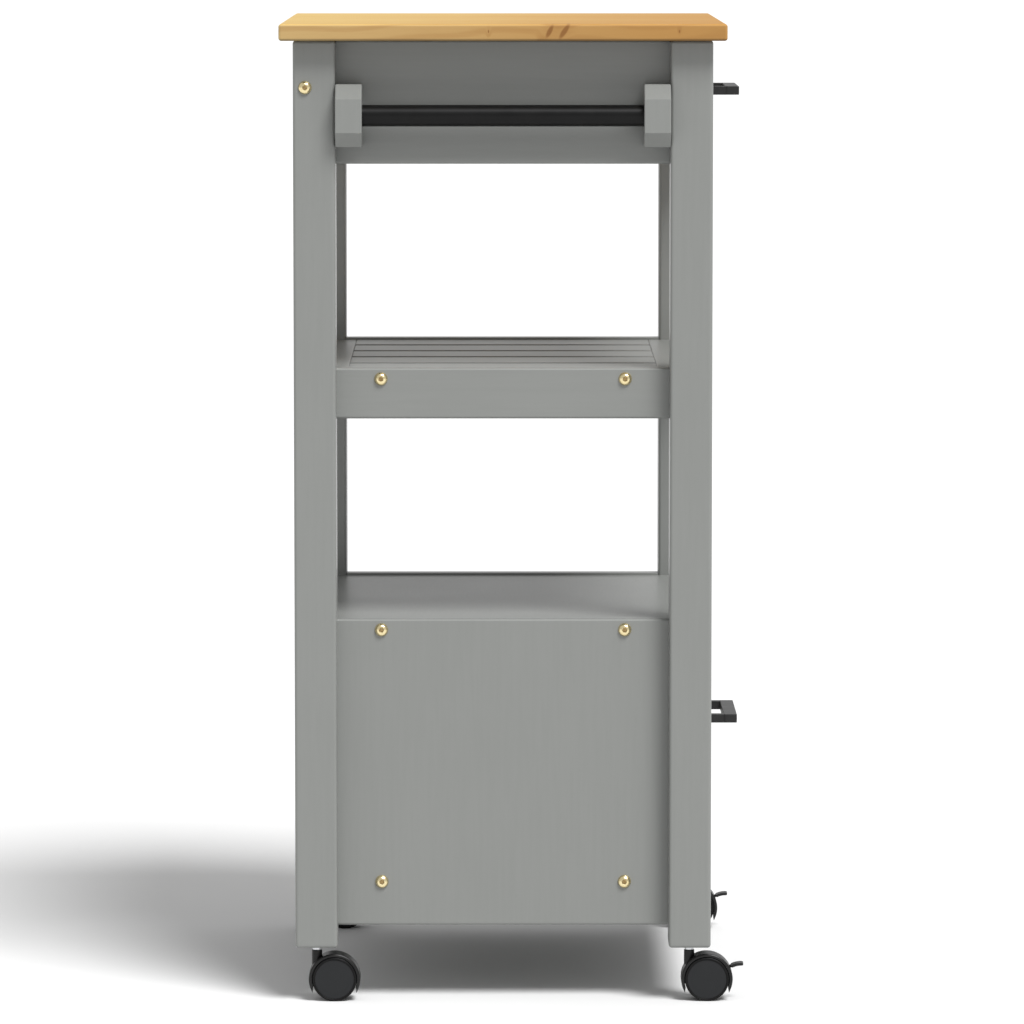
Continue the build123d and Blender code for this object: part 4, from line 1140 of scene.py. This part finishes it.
# ---------------- carried-over nodes
def finish_nodes():
    """Better finishes for the nodes whose shape is already right."""
    finishes = {"worktop_cleats": BARE["Y"], "frame_dowels": BARE["Y"], "runner_tracks": RUNNER}
    zinc = ["barrel_nuts", "wood_screws", "runner_screws", "caster_sockets", "caster_stems"]
    for drawer in ("upper_drawer", "lower_drawer"):
        finishes[drawer + "_sides"] = BARE["Y"]
        finishes[drawer + "_back"] = finishes[drawer + "_bottom"] = BARE["X"]
        finishes[drawer + "_slides"] = RUNNER
        zinc.append(drawer + "_screws")
    zinc += [f"axle_{end}_{side}" for end, side in CORNERS]
    finishes.update(dict.fromkeys(zinc, BRIGHT))
    for name, material in finishes.items():
        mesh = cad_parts[name].data
        mesh.materials.clear()
        mesh.materials.append(material)


# ---------------- stage
FLOOR_SIZE = 160.0
FLOOR_DARK, FLOOR_LIGHT = 0.70, 0.72
VIEW_LIMIT = 400.0
SENSOR_WIDTH = 36.0
CAMERA_AWAY = 5.921
CAMERA_SIDE = 0.0069
CAMERA_HEIGHT = 1.0095
CAMERA_DOWN = 5.636
CAMERA_YAW = 0.150
CAMERA_LENS = 223.9
KEY_DIRECTION = (-1.0, -0.715, 1.72)
KEY_STRENGTH = 3.9
KEY_ANGLE = 24.0
SKY_STRENGTH = 0.60


def make_floor():
    """A pale floor that runs out of sight, with the faintest mottling."""
    shader = Shader("studio_floor", Specular_IOR_Level=0.1)
    cloud = shader.noise(shader.place(), scale=3.0)
    colour = shader.mix(cloud, grey(FLOOR_DARK), grey(FLOOR_LIGHT))
    half = FLOOR_SIZE / 2
    corners = [(-half, -half, 0), (half, -half, 0), (half, half, 0), (-half, half, 0)]
    mesh = bpy.data.meshes.new("studio_floor")
    mesh.from_pydata(corners, [], [(0, 1, 2, 3)])
    mesh.materials.append(shader.set(Base_Color=colour, Roughness=0.8 + cloud.swing(0.1)))
    floor = bpy.data.objects.new("studio_floor", mesh)
    bpy.context.scene.collection.objects.link(floor)


def make_light():
    """A broad key light from above the rail end and the front, and a pale even sky."""
    sun = bpy.data.lights.new("key_light", "SUN")
    sun.energy, sun.angle = KEY_STRENGTH, math.radians(KEY_ANGLE)
    key = bpy.data.objects.new("key_light", sun)
    key.rotation_euler = Vector(KEY_DIRECTION).to_track_quat("Z", "Y").to_euler()
    bpy.context.scene.collection.objects.link(key)
    world = bpy.data.worlds.new("studio")
    world.use_nodes = True
    sky = world.node_tree.nodes["Background"]
    sky.inputs["Color"].default_value = (1.0, 1.0, 1.0, 1.0)
    sky.inputs["Strength"].default_value = SKY_STRENGTH
    bpy.context.scene.world = world


def make_camera():
    """A long lens a little above the worktop, looking slightly down at the rail end."""
    data = bpy.data.cameras.new("camera")
    data.lens, data.sensor_width, data.clip_end = CAMERA_LENS, SENSOR_WIDTH, VIEW_LIMIT
    camera = bpy.data.objects.new("camera", data)
    low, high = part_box("worktop")
    camera.location = (-CAMERA_AWAY, (low.y + high.y) / 2 + CAMERA_SIDE, CAMERA_HEIGHT)
    camera.rotation_euler = (math.radians(90 - CAMERA_DOWN), 0, math.radians(-90 - CAMERA_YAW))
    bpy.context.scene.collection.objects.link(camera)
    bpy.context.scene.camera = camera
    bpy.context.scene.view_settings.view_transform = "Standard"


make_timbers()
make_slats()
make_towel_rail()
make_handles()
make_bolts()
make_casters()
finish_nodes()
make_floor()
make_light()
make_camera()
